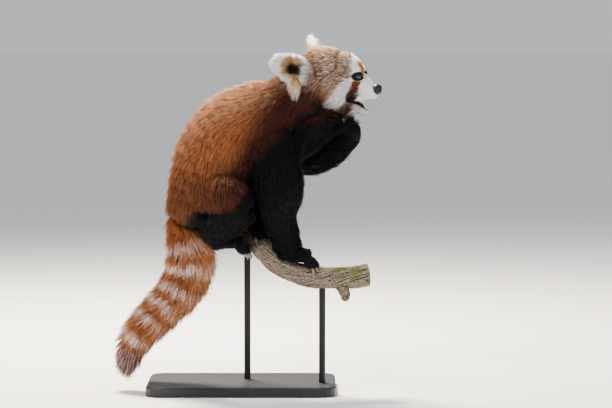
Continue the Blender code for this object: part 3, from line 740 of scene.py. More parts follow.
def head_colours(local, points):
    """The face's pattern, in the head's own millimetres."""
    x = local[:, 0] + 1.0 * wander(points, 5, 1)
    y = np.abs(local[:, 1]) + 0.8 * wander(points, 6, 2)
    z = local[:, 2] + 1.0 * wander(points, 5, 3)
    colours = np.tile(COLOURS["temple"], (len(x), 1))
    colours = mixed(colours, step_up(34, 54, z), COLOURS["crown"])
    colours = mixed(colours, step_up(0, -34, x), COLOURS["rust"])
    low = step_up(-8, -26, z) * step_up(24, 4, x)
    colours = mixed(colours, low, COLOURS["deep"])
    under = step_up(-38, -58, z) * step_up(50, 30, x)
    colours = mixed(colours, under, COLOURS["black"])
    back = np.interp(z, CHEEK_Z, CHEEK_BACK)
    front = np.interp(z, CHEEK_Z, CHEEK_FRONT)
    tear = np.interp(z, CHEEK_Z, STRIPE_FRONT)
    beside = step_up(12, 18, y)
    muzzle = step_up(-2, 2, x - tear) * step_up(16, 6, z) + step_up(58, 64, x)
    colours = mixed(colours, np.clip(muzzle, 0, 1), COLOURS["white"])
    brow = step_up(46, 50, x + 0.14 * z) * step_up(56, 44, z) * step_up(6, 12, z)
    colours = mixed(colours, brow, COLOURS["white"])
    bridge = step_up(16, 11, y) * step_up(76, 70, x) * step_up(6, 12, z) * step_up(36, 28, z)
    colours = mixed(colours, bridge, COLOURS["bridge"])
    cheek = step_up(-3, 3, x - back) * step_up(1.5, -1.5, x - front)
    cheek = cheek * step_up(6, 1, z) * step_up(-50, -42, z)
    colours = mixed(colours, cheek * beside, COLOURS["white"])
    stripe = step_up(-1.5, 1.5, x - front) * step_up(1.5, -1.5, x - tear) * step_up(0, -4, z) * beside
    rusty = np.tile(COLOURS["stripe"], (len(x), 1))
    rusty = mixed(rusty, step_up(-14, -32, z), COLOURS["stripe_dark"])
    colours = mixed(colours, stripe, rusty)
    chin = step_up(44, 50, x) * step_up(-42, -46, z)
    colours = mixed(colours, chin, COLOURS["chin"])
    throat = step_up(-62, -70, z) * step_up(60, 50, x)
    colours = mixed(colours, throat, COLOURS["black"])
    for side in (-1, 1):
        almond, out = off_lids(points, side)
        colours = mixed(colours, step_up(1.14, 0.98, almond) * (np.abs(out) < 20), COLOURS["lid"])
    return mixed(colours, in_mouth(local), COLOURS["mouth"])


def ear_colours(own, length, points, front):
    """A white rim, a fawn band and a black cup, and rust on the back."""
    x, y, _ = own.T
    ring = np.linalg.norm(np.stack([x / 20, (y - length * 0.42) / (length * 0.5)], axis=1), axis=1)
    ring = ring + 0.08 * wander(points, 4, 5)
    inside = step_up(-0.1, 0.35, front)
    above = step_up(0.1, 0.3, y / length)
    colours = np.tile(COLOURS["white"], (len(x), 1))
    colours = mixed(colours, inside * step_up(0.86, 0.68, ring) * above, COLOURS["fawn"])
    colours = mixed(colours, inside * step_up(0.64, 0.34, ring) * above, COLOURS["cup"])
    return mixed(colours, (1 - inside) * step_up(0.85, 0.5, ring), COLOURS["rust"])


def body_colours(points, facing, place):
    """The whole pattern, with its painted light and shade, as linear colours."""
    x, _, z = (points / MM).T
    edge = np.interp(x, BLACK_EDGE_X, BLACK_EDGE_Z)
    soft = np.interp(x, (0, 60), (7, 14))
    height = z - edge + 5 * wander(points, 16, 7)
    colours = np.tile(COLOURS["rust"], (len(x), 1))
    # Fur that faces up turns gold: partly the back's own golden colour, partly painted light from above.
    top = step_up(0.2, 0.9, facing[:, 2]) * step_up(100, 30, x)
    colours = mixed(colours, top, COLOURS["gold"])
    # Low on the flanks the rust deepens: partly the coat's own deeper red brown, partly painted shade.
    shade = step_up(125, 25, height) * np.interp(x, (-100, -40, 20), (0.55, 0.85, 1.0))
    colours = mixed(colours, shade, COLOURS["deep"])
    # On the neck, fur that does not face up turns deep brown: partly its own colour, partly painted shade.
    neck = step_up(60, 110, x) * step_up(0.9, 0.2, facing[:, 2])
    colours = mixed(colours, 0.92 * neck, COLOURS["deep"])
    black = step_up(1, -1, height / soft) * step_up(-106, -88, x)
    black = np.maximum(black, step_up(-0.35, -0.6, facing[:, 2]) * step_up(-95, -60, x))
    legs = [k for k, name in enumerate(PARTS) if "leg" in name or "paw" in name or "shank" in name]
    on_leg = step_up(0.4, 0.7, place["weight"][:, legs].sum(axis=1))
    black = np.maximum(black, on_leg * step_up(20, -10, height))
    colours = mixed(colours, black, COLOURS["black"])

    u = place["tail_u"] + 0.05 * wander(points, 9, 9)
    tail = np.tile(COLOURS["ring_dark"], (len(x), 1))
    for low, high in RINGS:
        ring = step_up(low - RING_EDGE, low + RING_EDGE, u) * step_up(high + RING_EDGE, high - RING_EDGE, u)
        strength = 0.6 if low < 3 else 0.95
        tail = mixed(tail, ring * strength, COLOURS["ring"])
    inner = step_up(-0.1, 0.7, facing[:, 0])  # rings are plain on the side towards the legs
    tail = mixed(tail, 0.55 * inner, COLOURS["gold"])
    tail = mixed(tail, step_up(8.1, 8.9, u), COLOURS["tail_end"])
    on_tail = share_of(place, "tail") * step_up(0.3, 1.0, u)
    colours = mixed(colours, on_tail, tail)

    on_head = share_of(place, "head")
    colours = mixed(colours, on_head, head_colours(place["head"], points))
    for name, (own, length) in place["ears"].items():
        front = facing @ np.array(ear_frame(*EARS[name]).col[2][:3])
        colours = mixed(colours, share_of(place, name), ear_colours(own, length, points, front))
    return np.clip(colours, 0, 1)


# %% [markdown]
# The skin carries the pattern as a colour attribute, which is a colour kept at each point of the
# mesh. Its tone is darker than the fur's tips, because light is lost between hairs. An unwrap of
# the skin gives every root of a tuft its own place on a map, which the coat needs later.


# %% Colouring and unwrapping the skin
UNDERCOAT = 0.75  # the skin's tone against the fur's


def array_of(items, name, width, kind=np.float64):
    """A number or a vector of every point, edge or triangle, as an array."""
    found = np.empty(len(items) * width, kind)
    items.foreach_get(name, found)
    return found.reshape(-1, width) if width > 1 else found


def set_colours(mesh, colours):
    """Keeps a colour at each point of a mesh."""
    layer = mesh.color_attributes.new(name="coat_colour", type="FLOAT_COLOR", domain="POINT")
    rgba = np.ones((len(colours), 4), np.float32)
    rgba[:, :3] = colours
    layer.data.foreach_set("color", rgba.ravel())


skin_points = array_of(skin.data.vertices, "co", 3)
skin_facing = array_of(skin.data.vertices, "normal", 3)
skin_place = read_body(skin_points)
skin_colours = body_colours(skin_points, skin_facing, skin_place)
set_colours(skin.data, skin_colours * UNDERCOAT)

bpy.ops.object.select_all(action="DESELECT")
skin.select_set(True)
bpy.context.view_layer.objects.active = skin
bpy.ops.object.mode_set(mode="EDIT")
bpy.ops.mesh.select_all(action="SELECT")
bpy.ops.uv.smart_project(angle_limit=1.15, island_margin=0.002, scale_to_bounds=True)  # 66 degrees
bpy.ops.object.mode_set(mode="OBJECT")
print("unwrap:", skin.data.uv_layers.active.name)

# %% [markdown]
# ## The coat
#
# Hair would be the natural tool, but a library part has to be plain mesh, so the coat is some
# 140,000 solid tufts. Each is a flat, three-sided spike that stands for a few dozen hairs that
# cling together. Roots are drawn at random over the skin, closer where the fur is fine. A tuft
# leaves the skin at a low angle, bends back to it unless it is short, and leans towards the middle
# of its clump, which is what breaks real fur into locks.

# %% Length, spacing and lean of the fur
# For each kind: space between roots, length, width, lift at the root in degrees, clump size
COAT = {
    "torso": (1.8, 29, 1.35, 25, 4.5),
    "neck": (1.75, 27, 1.3, 24, 4.5),
    "bib": (1.85, 24, 1.5, 22, 8),
    "belly": (2.3, 24, 1.9, 22, 9),
    "tail": (1.75, 35, 1.4, 35, 6),
    "foreleg": (1.85, 22, 1.3, 22, 5),
    "thigh": (1.85, 24, 1.35, 19, 5),
    "shank": (1.7, 17, 1.25, 20, 5),
    "forepaw": (1.2, 8, 0.95, 20, 4),
    "hindpaw": (1.2, 8, 0.95, 20, 4),
    "head": (1.1, 12, 0.9, 21, 2.0),
    "ear": (1.1, 16, 0.9, 24, 3),
}
coat_table = np.array([COAT[name.split("_")[0]] for name in PARTS], float)
# On the head, the other columns follow the length: what they are at three lengths
HEAD_LENGTHS = (2.4, 12, 27)
HEAD_SIZES = {0: (0.82, 1.15, 1.5), 2: (0.6, 0.95, 1.3), 3: (16, 21, 24)}
RUFF = 27  # length of the fur on the cheek ruff, in millimetres
THROAT = 15  # and under the jaw
# A bare oval round the nose pad, in the head's frame: middle and half sizes
NOSE_BARE = ((88, 0, -17), (12, 12.5, 11))


def head_lengths(local):
    """Fur on the face from the nose's down to the long cheek ruff, in millimetres."""
    x, y, z = local[:, 0], np.abs(local[:, 1]), local[:, 2]
    length = np.interp(x, (-30, 20, 45, 56, 70, 85), (20, 13, 8.5, 7, 6, 4.2))
    ruff = step_up(24, 36, y) * step_up(8, -18, z) * step_up(42, 22, x)
    length = length + (RUFF - length) * ruff
    throat = step_up(-40, -56, z) * step_up(55, 30, x)
    return length + (THROAT - length) * throat * (1 - ruff)


def coat_values(place):
    """Spacing, length, width, lift and clump size at each point."""
    values = place["weight"] @ coat_table
    on_head = share_of(place, "head")
    lengths = head_lengths(place["head"])
    values[:, 1] += on_head * (lengths - COAT["head"][1])
    for column, sizes in HEAD_SIZES.items():
        values[:, column] += on_head * (np.interp(lengths, HEAD_LENGTHS, sizes) - COAT["head"][column])
    return values


def bare(points, place):
    """Where nothing grows: on the lids' edges, in the mouth and round the nose pad."""
    none = np.zeros(len(points), bool)
    for side in (-1, 1):
        almond, out = off_lids(points, side)
        none |= (almond < 1) & (out > 0) & (out < 18)
    local = place["head"]
    middle, radii = NOSE_BARE
    pad = np.linalg.norm((local - middle) / radii, axis=1)
    return none | (in_mouth(local) > 0.5) | (pad < 1)


# %% Spreading the roots
mesh = skin.data
mesh.calc_loop_triangles()
corners = array_of(mesh.loop_triangles, "vertices", 3, np.int32)
loops = array_of(mesh.loop_triangles, "loops", 3, np.int32)
uvs = array_of(mesh.uv_layers.active.data, "uv", 2)
triangle = skin_points[corners]
normal = np.cross(triangle[:, 1] - triangle[:, 0], triangle[:, 2] - triangle[:, 0])
area = np.linalg.norm(normal, axis=1) / 2 / MM**2
spacing = coat_values(skin_place)[:, 0][corners].mean(axis=1)
wanted = area / spacing**2
count = np.floor(wanted + chance.random(len(wanted))).astype(int)
owner = np.repeat(np.arange(len(count)), count)
mix = -np.log(np.clip(chance.random((len(owner), 3)), 1e-6, 1))
mix /= mix.sum(axis=1, keepdims=True)
roots = (triangle[owner] * mix[:, :, None]).sum(axis=1)
out = unit((skin_facing[corners[owner]] * mix[:, :, None]).sum(axis=1))
root_uv = (uvs[loops[owner]] * mix[:, :, None]).sum(axis=1)
place = read_body(roots)
keep = ~bare(roots, place)
roots, out, root_uv = roots[keep], out[keep], root_uv[keep]
place = read_body(roots)
print("roots:", len(roots))

# %% [markdown]
# The lie of the coat runs back from the nose, down the neck to the tail and down each leg. On the
# flanks it sags. Where the near ear joins the cheek, a long white tuft hangs down.


# %% The lie and the clumps
TASSEL_ROOT = (103, -62, 577)  # in the world's millimetres, as its tip
TASSEL_TIP = np.array((97.0, -70.0, 536.0))
TASSEL_WAY = np.array((-0.12, -0.25, -1.0))
TASSEL_LENGTH = 40
TASSEL_LIFT = 30  # at the root, in degrees
SAG = (0.25, 0.75)  # how far gravity turns the lie, away from the trunk and on its flanks
FLOW = 0.16  # how far broad swirls turn the lie on the trunk
SCATTER = 0.09  # how far it differs from tuft to tuft
SWAY = 0.13  # and from clump to clump
values = coat_values(place)
_, length, width, lift, clump = values.T
lie = place["lie"].copy()
on_trunk = share_of(place, "torso") + share_of(place, "neck")
sag = SAG[1] * on_trunk * (1 - np.abs(out[:, 2])) + SAG[0] * (1 - on_trunk)
lie[:, 2] -= sag * (share_of(place, "tail") < 0.5)

from_ear = np.linalg.norm(roots / MM - TASSEL_ROOT, axis=1)
tassel = step_up(11, 6, from_ear)
lie += (TASSEL_WAY - lie) * tassel[:, None]
length = length + (TASSEL_LENGTH - length) * tassel
lift = lift + (TASSEL_LIFT - lift) * tassel
flow = np.stack([wander(roots, 45, 30 + k) for k in range(3)], axis=1)
lie += FLOW * flow * on_trunk[:, None]
lie += SCATTER * chance.normal(size=lie.shape)

clump_of = np.empty(len(roots), int)
pick = chance.random(len(roots)) < np.minimum(1, (values[:, 0] / clump) ** 2)
centres = np.flatnonzero(pick)
tree = kdtree.KDTree(len(centres))
for k, root in zip(centres, roots[centres]):
    tree.insert(root, int(k))
tree.balance()
for k, root in enumerate(roots):
    clump_of[k] = tree.find(root)[1]
sway = SWAY * chance.normal(size=lie.shape)
lie += sway[clump_of]
lie -= out * (lie * out).sum(axis=1, keepdims=True)
lie = unit(lie)
# Length and lift differ from tuft to tuft, and then from clump to clump
length = length * chance.uniform(0.72, 1.12, len(roots)) * chance.uniform(0.85, 1.1, len(roots))[clump_of]
lift = lift + 5 * chance.normal(size=len(roots)) + 4 * chance.normal(size=len(roots))[clump_of]
angle = np.clip(np.radians(lift), 0.05, 1.2)
print("clumps:", len(centres))

# %% The bend of each tuft
BEND = math.radians(14)
BURIED = 0.8  # how deep a tuft starts under the skin, in millimetres
GATHER = 0.16  # how far a tip leans to the middle of its clump, as a share of the way
MIDDLE_GATHER = 0.3  # and a tuft's bend, as a share of that
TASSEL_GATHER = 0.35  # how much more the tassel's tips lean, and how far to the tassel's own tip
TASSEL_POINT = 0.55


def leaning(angles):
    """The way of each tuft, at an angle to the skin."""
    return lie * np.cos(angles)[:, None] + out * np.sin(angles)[:, None]


start = roots - out * BURIED * MM
middle = start + leaning(angle) * (length * 0.5 * MM)[:, None]
tip = middle + leaning(angle - BEND) * (length * 0.5 * MM)[:, None]
gather = GATHER + TASSEL_GATHER * tassel
tip = tip + (tip[clump_of] - tip) * gather[:, None]
tip = tip + (TASSEL_TIP - tip / MM) * MM * (TASSEL_POINT * tassel)[:, None]
middle = middle + (middle[clump_of] - middle) * (MIDDLE_GATHER * gather)[:, None]
across = unit(np.cross(out, lie))
print("longest tuft:", round(length.max(), 1), "mm")

# %% [markdown]
# A tuft's colour runs from a darker root to a lighter tip. Each tuft differs a little from its
# neighbours, and each clump from the next, as real fur does. On the temples pale and dark hairs
# stand side by side, which gives the grizzled look. Tufts that face up get paler tips still, a
# painted highlight, and black tips a faint painted blue reflection of the sky.

# %% The colours of each tuft
TAIL_ROW = 38  # the mean space between rows of the tail's table, in millimetres
BLUE_SHINE = np.array((0.004, 0.005, 0.011))  # of the sky on black tips, in linear light
shown = dict(place)
shown["tail_u"] = place["tail_u"] + 0.5 * length / TAIL_ROW  # a ring shows where its tufts end
base = body_colours(roots, out, shown)
shade = np.exp(0.15 * chance.normal(size=len(roots)) + 0.1 * chance.normal(size=len(roots))[clump_of])
dark = step_up(0.12, 0.03, base.mean(axis=1))
pale = step_up(0.45, 0.7, base.mean(axis=1))
local = place["head"]
temple = share_of(place, "head") * step_up(50, 40, local[:, 0])
temple = temple * step_up(-15, 0, local[:, 2]) * step_up(-45, -20, local[:, 0]) * (1 - pale)
grizzle = chance.random(len(roots))
base = mixed(base, temple * 0.85 * (grizzle < 0.3), COLOURS["temple_dark"])
base = mixed(base, temple * 0.8 * (grizzle > 0.7), COLOURS["temple_pale"])
tip_of_tail = share_of(place, "tail") * step_up(7.9, 8.7, shown["tail_u"])
base = mixed(base, tip_of_tail * 0.7 * (grizzle > 0.66), COLOURS["ring"])
base = mixed(base, tip_of_tail * 0.6 * (grizzle < 0.25), COLOURS["temple_dark"])
base = mixed(base, tassel, COLOURS["fawn"] * 1.25)
root_tone = base * (0.5 + 0.2 * pale)[:, None]
# Tufts that face up, unless black or white, get pale sunlit tips: a painted highlight.
bright = (1 - dark) * (1 - pale) * step_up(0.1, 0.95, out[:, 2])
tip_tone = mixed(base * 1.12, 0.5 * bright, COLOURS["sunlit"])
tip_tone = mixed(tip_tone, tassel, COLOURS["white"])
tip_tone = tip_tone + dark[:, None] * BLUE_SHINE
tones = [np.clip(t * shade[:, None], 0, 1) for t in (root_tone, base, tip_tone)]

# %% [markdown]
# The tufts become joined meshes, each under 200,000 triangles, split by body part. Every tuft also
# gets a patch on the coat's map: 0.003 across, at its root's place on the unwrap of the skin.

# %% Making the coat's meshes
PATCH = 0.003
MOST_TRIANGLES = 195000  # in one piece
ROOT_WIDTH = 0.75  # a tuft's width at its root, as a share of that at its bend
RIDGE = 0.35  # how high its ridge stands, as a share of its width
# Corners of a bent tuft: two rings of three and the tip. A short one has one ring and the tip.
SIDES = ((0, 1), (1, 2), (2, 0))
WALL = [t for k, n in SIDES for t in ((k, n, 3 + n), (k, 3 + n, 3 + k), (3 + k, 3 + n, 6))]
BENT = np.array([(0, 2, 1), *WALL])
SHORT = np.array([(0, 2, 1), *((k, n, 3) for k, n in SIDES)])
BENT_SPREAD = np.array([(-1, -1), (1, -1), (0, -1), (-1, 0), (1, 0), (0, 0), (0, 1)]) * PATCH / 2
SHORT_SPREAD = np.array([(-1, -1), (1, -1), (0, 0), (0, 1)]) * PATCH / 2


def tuft_points(start, middle, tip, across, out, width):
    """The seven corners of each tuft: two three-cornered rings and the tip."""
    rings = []
    for centre, share in ((start, ROOT_WIDTH), (middle, 1.0)):
        half = across * (width * share * 0.5 * MM)[:, None]
        ridge = out * (width * share * RIDGE * MM)[:, None]
        rings += [centre - half, centre + half, centre + ridge]
    return np.stack([*rings, tip], axis=1)


def joined_tufts(name, points, colours, faces, spread, uv, material):
    """One mesh of many tufts. points and colours hold each tuft's corners, and faces those of one."""
    count, corners = points.shape[:2]
    faces = (faces[None] + corners * np.arange(count)[:, None, None]).reshape(-1, 3)
    mesh = bpy.data.meshes.new(name)
    mesh.vertices.add(corners * count)
    mesh.vertices.foreach_set("co", points.reshape(-1).astype(np.float32))
    mesh.loops.add(faces.size)
    mesh.loops.foreach_set("vertex_index", faces.reshape(-1).astype(np.int32))
    mesh.polygons.add(len(faces))
    mesh.polygons.foreach_set("loop_start", np.arange(0, faces.size, 3, dtype=np.int32))
    mesh.update(calc_edges=True)
    mesh.shade_smooth()
    set_colours(mesh, colours.reshape(-1, 3))
    flat = (uv[:, None] + spread[None]).reshape(-1, 2)
    flat = flat[faces.reshape(-1)].reshape(-1).astype(np.float32)
    mesh.uv_layers.new(name="OFBake").data.foreach_set("uv", flat)
    mesh.materials.append(material)
    piece = bpy.data.objects.new(name, mesh)
    bpy.context.scene.collection.objects.link(piece)
    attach(piece, "root")
    return piece


# %% [markdown]
# ## Materials
#
# Fur is keratin, with an index of refraction near 1.55. Its scales scatter light, so a tuft is
# rather rough, with a faint sheen where it turns away. The skin under it has the same pattern, and
# a fine bump that stands for the shortest hairs.


# %% A helper for nodes and the fur material
def add_node(material, kind, settings=(), inputs=(), links=()):
    """Adds a node with its settings and input values, and links (output, input name) pairs to it."""
    node = material.node_tree.nodes.new(kind)
    for name, value in dict(settings).items():
        setattr(node, name, value)
    for name, value in dict(inputs).items():
        node.inputs[name].default_value = value
    for output, name in links:
        material.node_tree.links.new(output, node.inputs[name])
    return node


def link(material, output, shader, name):
    material.node_tree.links.new(output, shader.inputs[name])


def new_material(name, colour=None, **sockets):
    """A Principled material in one hex colour, or else in the colours kept at the mesh's points."""
    material = bpy.data.materials.new(name)
    material.use_nodes = True
    shader = material.node_tree.nodes["Principled BSDF"]
    for key, value in sockets.items():
        shader.inputs[key.replace("_", " ").title().replace("Ior", "IOR")].default_value = value
    if colour:
        shader.inputs["Base Color"].default_value = (*linear(colour), 1)
    else:
        tone = add_node(material, "ShaderNodeAttribute", {"attribute_name": "coat_colour"})
        link(material, tone.outputs["Color"], shader, "Base Color")
    return material, shader


def add_relief(material, shader, kind, size, output, bump, settings=(), **inputs):
    """A texture's relief on a material: its size in millimetres, and the bump's strength and depth."""
    where = add_node(material, "ShaderNodeTexCoord")
    inputs["Scale"] = 1 / (size * MM)
    texture = add_node(material, kind, inputs=inputs, links=[(where.outputs["Object"], "Vector")])
    strength, depth = bump
    relief = add_node(
        material, "ShaderNodeBump", settings, {"Strength": strength, "Distance": depth * MM},
        [(texture.outputs[output], "Height")],
    )
    link(material, relief.outputs["Normal"], shader, "Normal")


def dress(piece, material):
    """Smooth shading and one material for the whole piece."""
    piece.data.shade_smooth()
    piece.data.materials.clear()
    piece.data.materials.append(material)


fur, _ = new_material(
    "guard_hair_keratin", roughness=0.62, ior=1.55, specular_ior_level=0.22,
    sheen_weight=0.04, sheen_roughness=0.4,
)
hide, hide_shader = new_material("downy_skin", roughness=0.75, ior=1.45)
add_relief(hide, hide_shader, "ShaderNodeTexNoise", 0.9, "Fac", (0.4, 0.3), Detail=2.0)
dress(skin, hide)

# %% Dressing the animal
SHORT_FUR = 9.5  # tufts under this length, in millimetres, don't bend
FEWEST_TUFTS = 50  # in a piece of its own
bent_points = tuft_points(start, middle, tip, across, out, width)
bent_colours = np.stack([tones[0]] * 3 + [tones[1]] * 3 + [tones[2]], axis=1)
short_points = bent_points[:, (0, 1, 2, 6)]
near_root = 0.4 * tones[0] + 0.6 * tones[1]
short_colours = np.stack([near_root] * 3 + [tones[2]], axis=1)
is_short = length < SHORT_FUR
FAMILIES = {
    "trunk": (("torso", "neck", "bib", "belly"), "rust_fur"),
    "tail": (("tail",), "tail_fur"),
    "legs": (("foreleg", "thigh", "shank"), "dark_fur"),
    "paws": (("forepaw", "hindpaw"), "dark_fur"),
    "head": (("head",), "face_fur"),
    "ears": (("ear",), "ear_fur"),
}
triangles = 0
for family, (kinds, slot) in FAMILIES.items():
    members = [k for k, name in enumerate(PARTS) if name.split("_")[0] in kinds]
    own = np.isin(place["part"], members)
    for kind, chosen, points, colours, faces, spread in (
        ("long", own & ~is_short, bent_points, bent_colours, BENT, BENT_SPREAD),
        ("short", own & is_short, short_points, short_colours, SHORT, SHORT_SPREAD),
    ):
        chosen = np.flatnonzero(chosen)
        if len(chosen) < FEWEST_TUFTS:
            continue
        chosen = chosen[np.argsort(roots[chosen, 0], kind="stable")]
        pieces = math.ceil(len(chosen) * len(faces) / MOST_TRIANGLES)
        for k, part in enumerate(np.array_split(chosen, pieces)):
            name = f"coat_{family}_{kind}_{k + 1}"
            piece = joined_tufts(name, points[part], colours[part], faces, spread, root_uv[part], fur)
            triangles += len(part) * len(faces)
            print(name, len(part) * len(faces), "triangles")
print("coat:", triangles, "triangles in", len(roots), "tufts")

# %% [markdown]
# ## Eyes
#
# A red panda's eye is a wet brown bead that looks black from a few steps away. It is one ball close
# to the solid's place, with a slight bulge for the cornea, a dark brown ring and a black pupil.
# The tear film gives the sharp highlight, so the material has a smooth clear coat.

# %% The eyes
CORNEA_EDGE = 0.7  # where the bulge starts along the gaze, as a share of the radius
CORNEA_RISE = 0.5  # in millimetres
IRIS = ((0.62, 0.7), (0.84, 0.88))  # where its soft outer and inner edges lie, as shares of the radius
eye_glass, _ = new_material("wet_eye", roughness=0.12, ior=1.38, coat_weight=1.0, coat_roughness=0.02)
for side, name in ((-1, "right"), (1, "left")):
    ball = bmesh.new()
    bmesh.ops.create_uvsphere(ball, u_segments=48, v_segments=32, radius=EYE_RADIUS * MM)
    for v in ball.verts:
        height = v.co.z / (EYE_RADIUS * MM)
        v.co.z += CORNEA_RISE * MM * max(0.0, (height - CORNEA_EDGE) / (1 - CORNEA_EDGE))
    heights = np.array([v.co.z / (EYE_RADIUS * MM) for v in ball.verts])
    bmesh.ops.transform(ball, matrix=gaze(side), verts=ball.verts)
    eye = new_piece(f"eyeball_{name}", ball)
    shades = np.tile(tint("#1c100a"), (len(heights), 1))
    for edge, colour in zip(IRIS, ("#3a2010", "#050404")):
        shades = mixed(shades, step_up(*edge, heights), tint(colour))
    set_colours(eye.data, shades)
    dress(eye, eye_glass)
    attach(eye, "root")
    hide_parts(f"eye_{name}")

# %% [markdown]
# ## Nose
#
# The nose is a bare, wet pad with a pebbled skin. It is cast fine enough for two comma-shaped
# nostrils and the groove that runs down to the lip.

# %% The nose
# In the head's frame: middle, half sizes and turn of the pad's masses and of what is cut out of it
PAD = (((88, 0, -15), (9.4, 11.2, 7.6)), ((90, 0, -20), (7, 8.2, 7.6)))
NOSTRIL = ((96.3, 5.2, -17), (4.6, 2.2, 2.1), (0, 0, 22))
NOSTRIL_TAIL = ((93.5, 8.2, -18.5), (4.2, 3.0, 1.1), (0, 20, 50))
GROOVE = ((97.4, 0, -22), (1.6, 0.6, 5))
pad = bmesh.new()
for mass in PAD:
    add_mass(pad, place_of_head, *mass)
nose = cast("nose_pad", pad, 0.7, 3)
cuts = bmesh.new()
for side in (-1, 1):
    for (x, y, z), radii, (roll, pitch, yaw) in (NOSTRIL, NOSTRIL_TAIL):
        add_mass(cuts, place_of_head, (x, y * side, z), radii, (roll, pitch, yaw * side))
add_mass(cuts, place_of_head, *GROOVE)
join_or_cut(nose, [cast("cuts", cuts, 0.5, 1)], "DIFFERENCE")
rhinarium, nose_shader = new_material(
    "wet_nose_skin", "#15161b", roughness=0.38, ior=1.4, coat_weight=0.35, coat_roughness=0.25
)
add_relief(
    rhinarium, nose_shader, "ShaderNodeTexVoronoi", 1.0, "Distance", (0.5, 0.25), {"invert": True}
)
dress(nose, rhinarium)
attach(nose, "root")
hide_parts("nose")
print("nose:", len(nose.data.polygons), "faces")

# %% [markdown]
# ## Claws and whiskers
#
# Each toe carries a curved, half-drawn claw of pale horn, and each side of the muzzle a fan of white
# whiskers. Both are pulled along a short line: a circle is extruded from station to station and
# fitted to the size there. Whiskers grow in rows, are longest at the back, and droop. Horn and
# whisker are the fur's keratin in solid form, so they are smoother than the coat and shine softly.


# %% Pulling a round piece along a line
def grow_rings(shape, segments, count):
    """Extrudes a circle into a tube of count rings, and gives the points of each in turn."""
    ring = bmesh.ops.create_circle(shape, segments=segments, radius=1)["verts"]
    edges = list({edge for v in ring for edge in v.link_edges})
    for k in range(count):
        if k:
            grown = bmesh.ops.extrude_edge_only(shape, edges=edges)["geom"]
            ring = [g for g in grown if isinstance(g, bmesh.types.BMVert)]
            edges = [g for g in grown if isinstance(g, bmesh.types.BMEdge)]
        yield ring


def sweep(shape, spots, side_way, segments):
    """A round piece along (u, middle, heading, deep, wide) stations, such as a claw."""
    for ring, (_, centre, heading, deep, wide) in zip(grow_rings(shape, segments, len(spots)), spots):
        rise = heading.cross(side_way).normalized()
        across_way = rise.cross(heading)
        for n, v in enumerate(ring):
            turn = 2 * math.pi * n / segments
            v.co = centre + rise * math.cos(turn) * deep + across_way * math.sin(turn) * wide


def close_ends(shape):
    """Closes the open ends of tubes, and turns all faces outwards."""
    rims = [e for e in shape.edges if len(e.link_faces) == 1]
    bmesh.ops.holes_fill(shape, edges=rims, sides=0)
    bmesh.ops.recalc_face_normals(shape, faces=shape.faces)


# %% The claws
CLAW_SIZES = ((3.0, 2.0), (2.1, 1.5), (0.5, 0.4))  # half height and half width at root, bend and tip
CLAW_REACH = 1.3  # from root to bend, in radii of the toe
CLAW_DROP = 0.6  # from bend to tip, in the same
horn, _ = new_material("claw_horn", "#8d8278", roughness=0.35, ior=1.54)
for name, (_, toes) in PAWS.items():
    claws = bmesh.new()
    for _, _, toe_tip, ahead, below, radius in toes:
        point = toe_tip + (ahead + below * 0.9).normalized() * radius * CLAW_REACH
        hook = point + below * radius * CLAW_DROP + ahead * 0.5
        line = [(*spot, *sizes) for spot, sizes in zip((toe_tip, point, hook), CLAW_SIZES)]
        sweep(claws, stations(line, 7), ahead.cross(below).normalized(), 8)
    close_ends(claws)
    piece = new_piece(f"claws_{name}", claws)
    dress(piece, horn)
    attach(piece, "root")
    print(piece.name, len(piece.data.polygons), "faces")

# %% The whiskers
WHISKER_ROOT = 0.22  # half the thickness at the root, in millimetres
WHISKER_TIP = 0.05
WHISKER_ROWS = ((-19, 3), (-24, 4), (-29, 3))  # height of each row and how many grow in it
MIDDLE_ROW = -24
FIRST_WHISKER = (76, 11, 15)  # how far forward and out its root is and how long it is
NEXT_WHISKER = (-5, 1.7, 7)  # the change in these from one whisker to the next behind it
quill, _ = new_material("whisker_keratin", "#efece6", roughness=0.4, ior=1.55)
head_up = place_of_head.to_3x3() @ Vector((0, 0, 1))
whiskers = bmesh.new()
for side in (-1, 1):
    for z, count in WHISKER_ROWS:
        for k in range(count):
            x, y, long = (first + k * change for first, change in zip(FIRST_WHISKER, NEXT_WHISKER))
            x += chance.uniform(-1, 1)
            root = Vector((x, y * side, z + chance.uniform(-1, 1)))
            spread = 0.9 + chance.uniform(-0.2, 0.2)
            fan = -0.15 + (z - MIDDLE_ROW) * 0.03
            way = Vector((-0.25 - 0.2 * k, spread * side, fan)).normalized()
            reach = long + chance.uniform(-2, 3)
            droop = Vector((-0.12, 0, -0.2)) * reach
            half, end = root + way * reach * 0.5, root + way * reach + droop
            places = [place_of_head @ (v * MM) / MM for v in (root, half, end)]
            sizes = (WHISKER_ROOT, 0.6 * WHISKER_ROOT, WHISKER_TIP)
            line = [(*v, size, size) for v, size in zip(places, sizes)]
            sweep(whiskers, stations(line, 7), head_up, 5)
close_ends(whiskers)
piece = new_piece("whiskers", whiskers)
dress(piece, quill)
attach(piece, "root")
print("whiskers:", len(piece.data.polygons), "faces")

# %% [markdown]
# ## Branch
#
# The perch is a cut length of branch with furrowed, weathered bark. It is pulled along its line as
# the claws are, then noise moves each point in or out: broad swells, long furrows that run with the
# grain, and small scales. The stub of a lost twig is joined on. Bark is darkest where it is hollow,
# so each point is shaded by how far its neighbours stand out from it.


# %% The branch's shape
GRAIN_TWIST = 0.5  # how far the grain winds round from row to row, in radians
FURROW_WIDTH = 0.2  # the share of the noise's height that a furrow takes up
# Depths of furrows and cracks and height of scales, in millimetres
FURROW = 3.0
CRACK = 1.3
SCALE = 0.6
TAPERED = 0.2  # the share of a limb's length, at its far end, that tapers


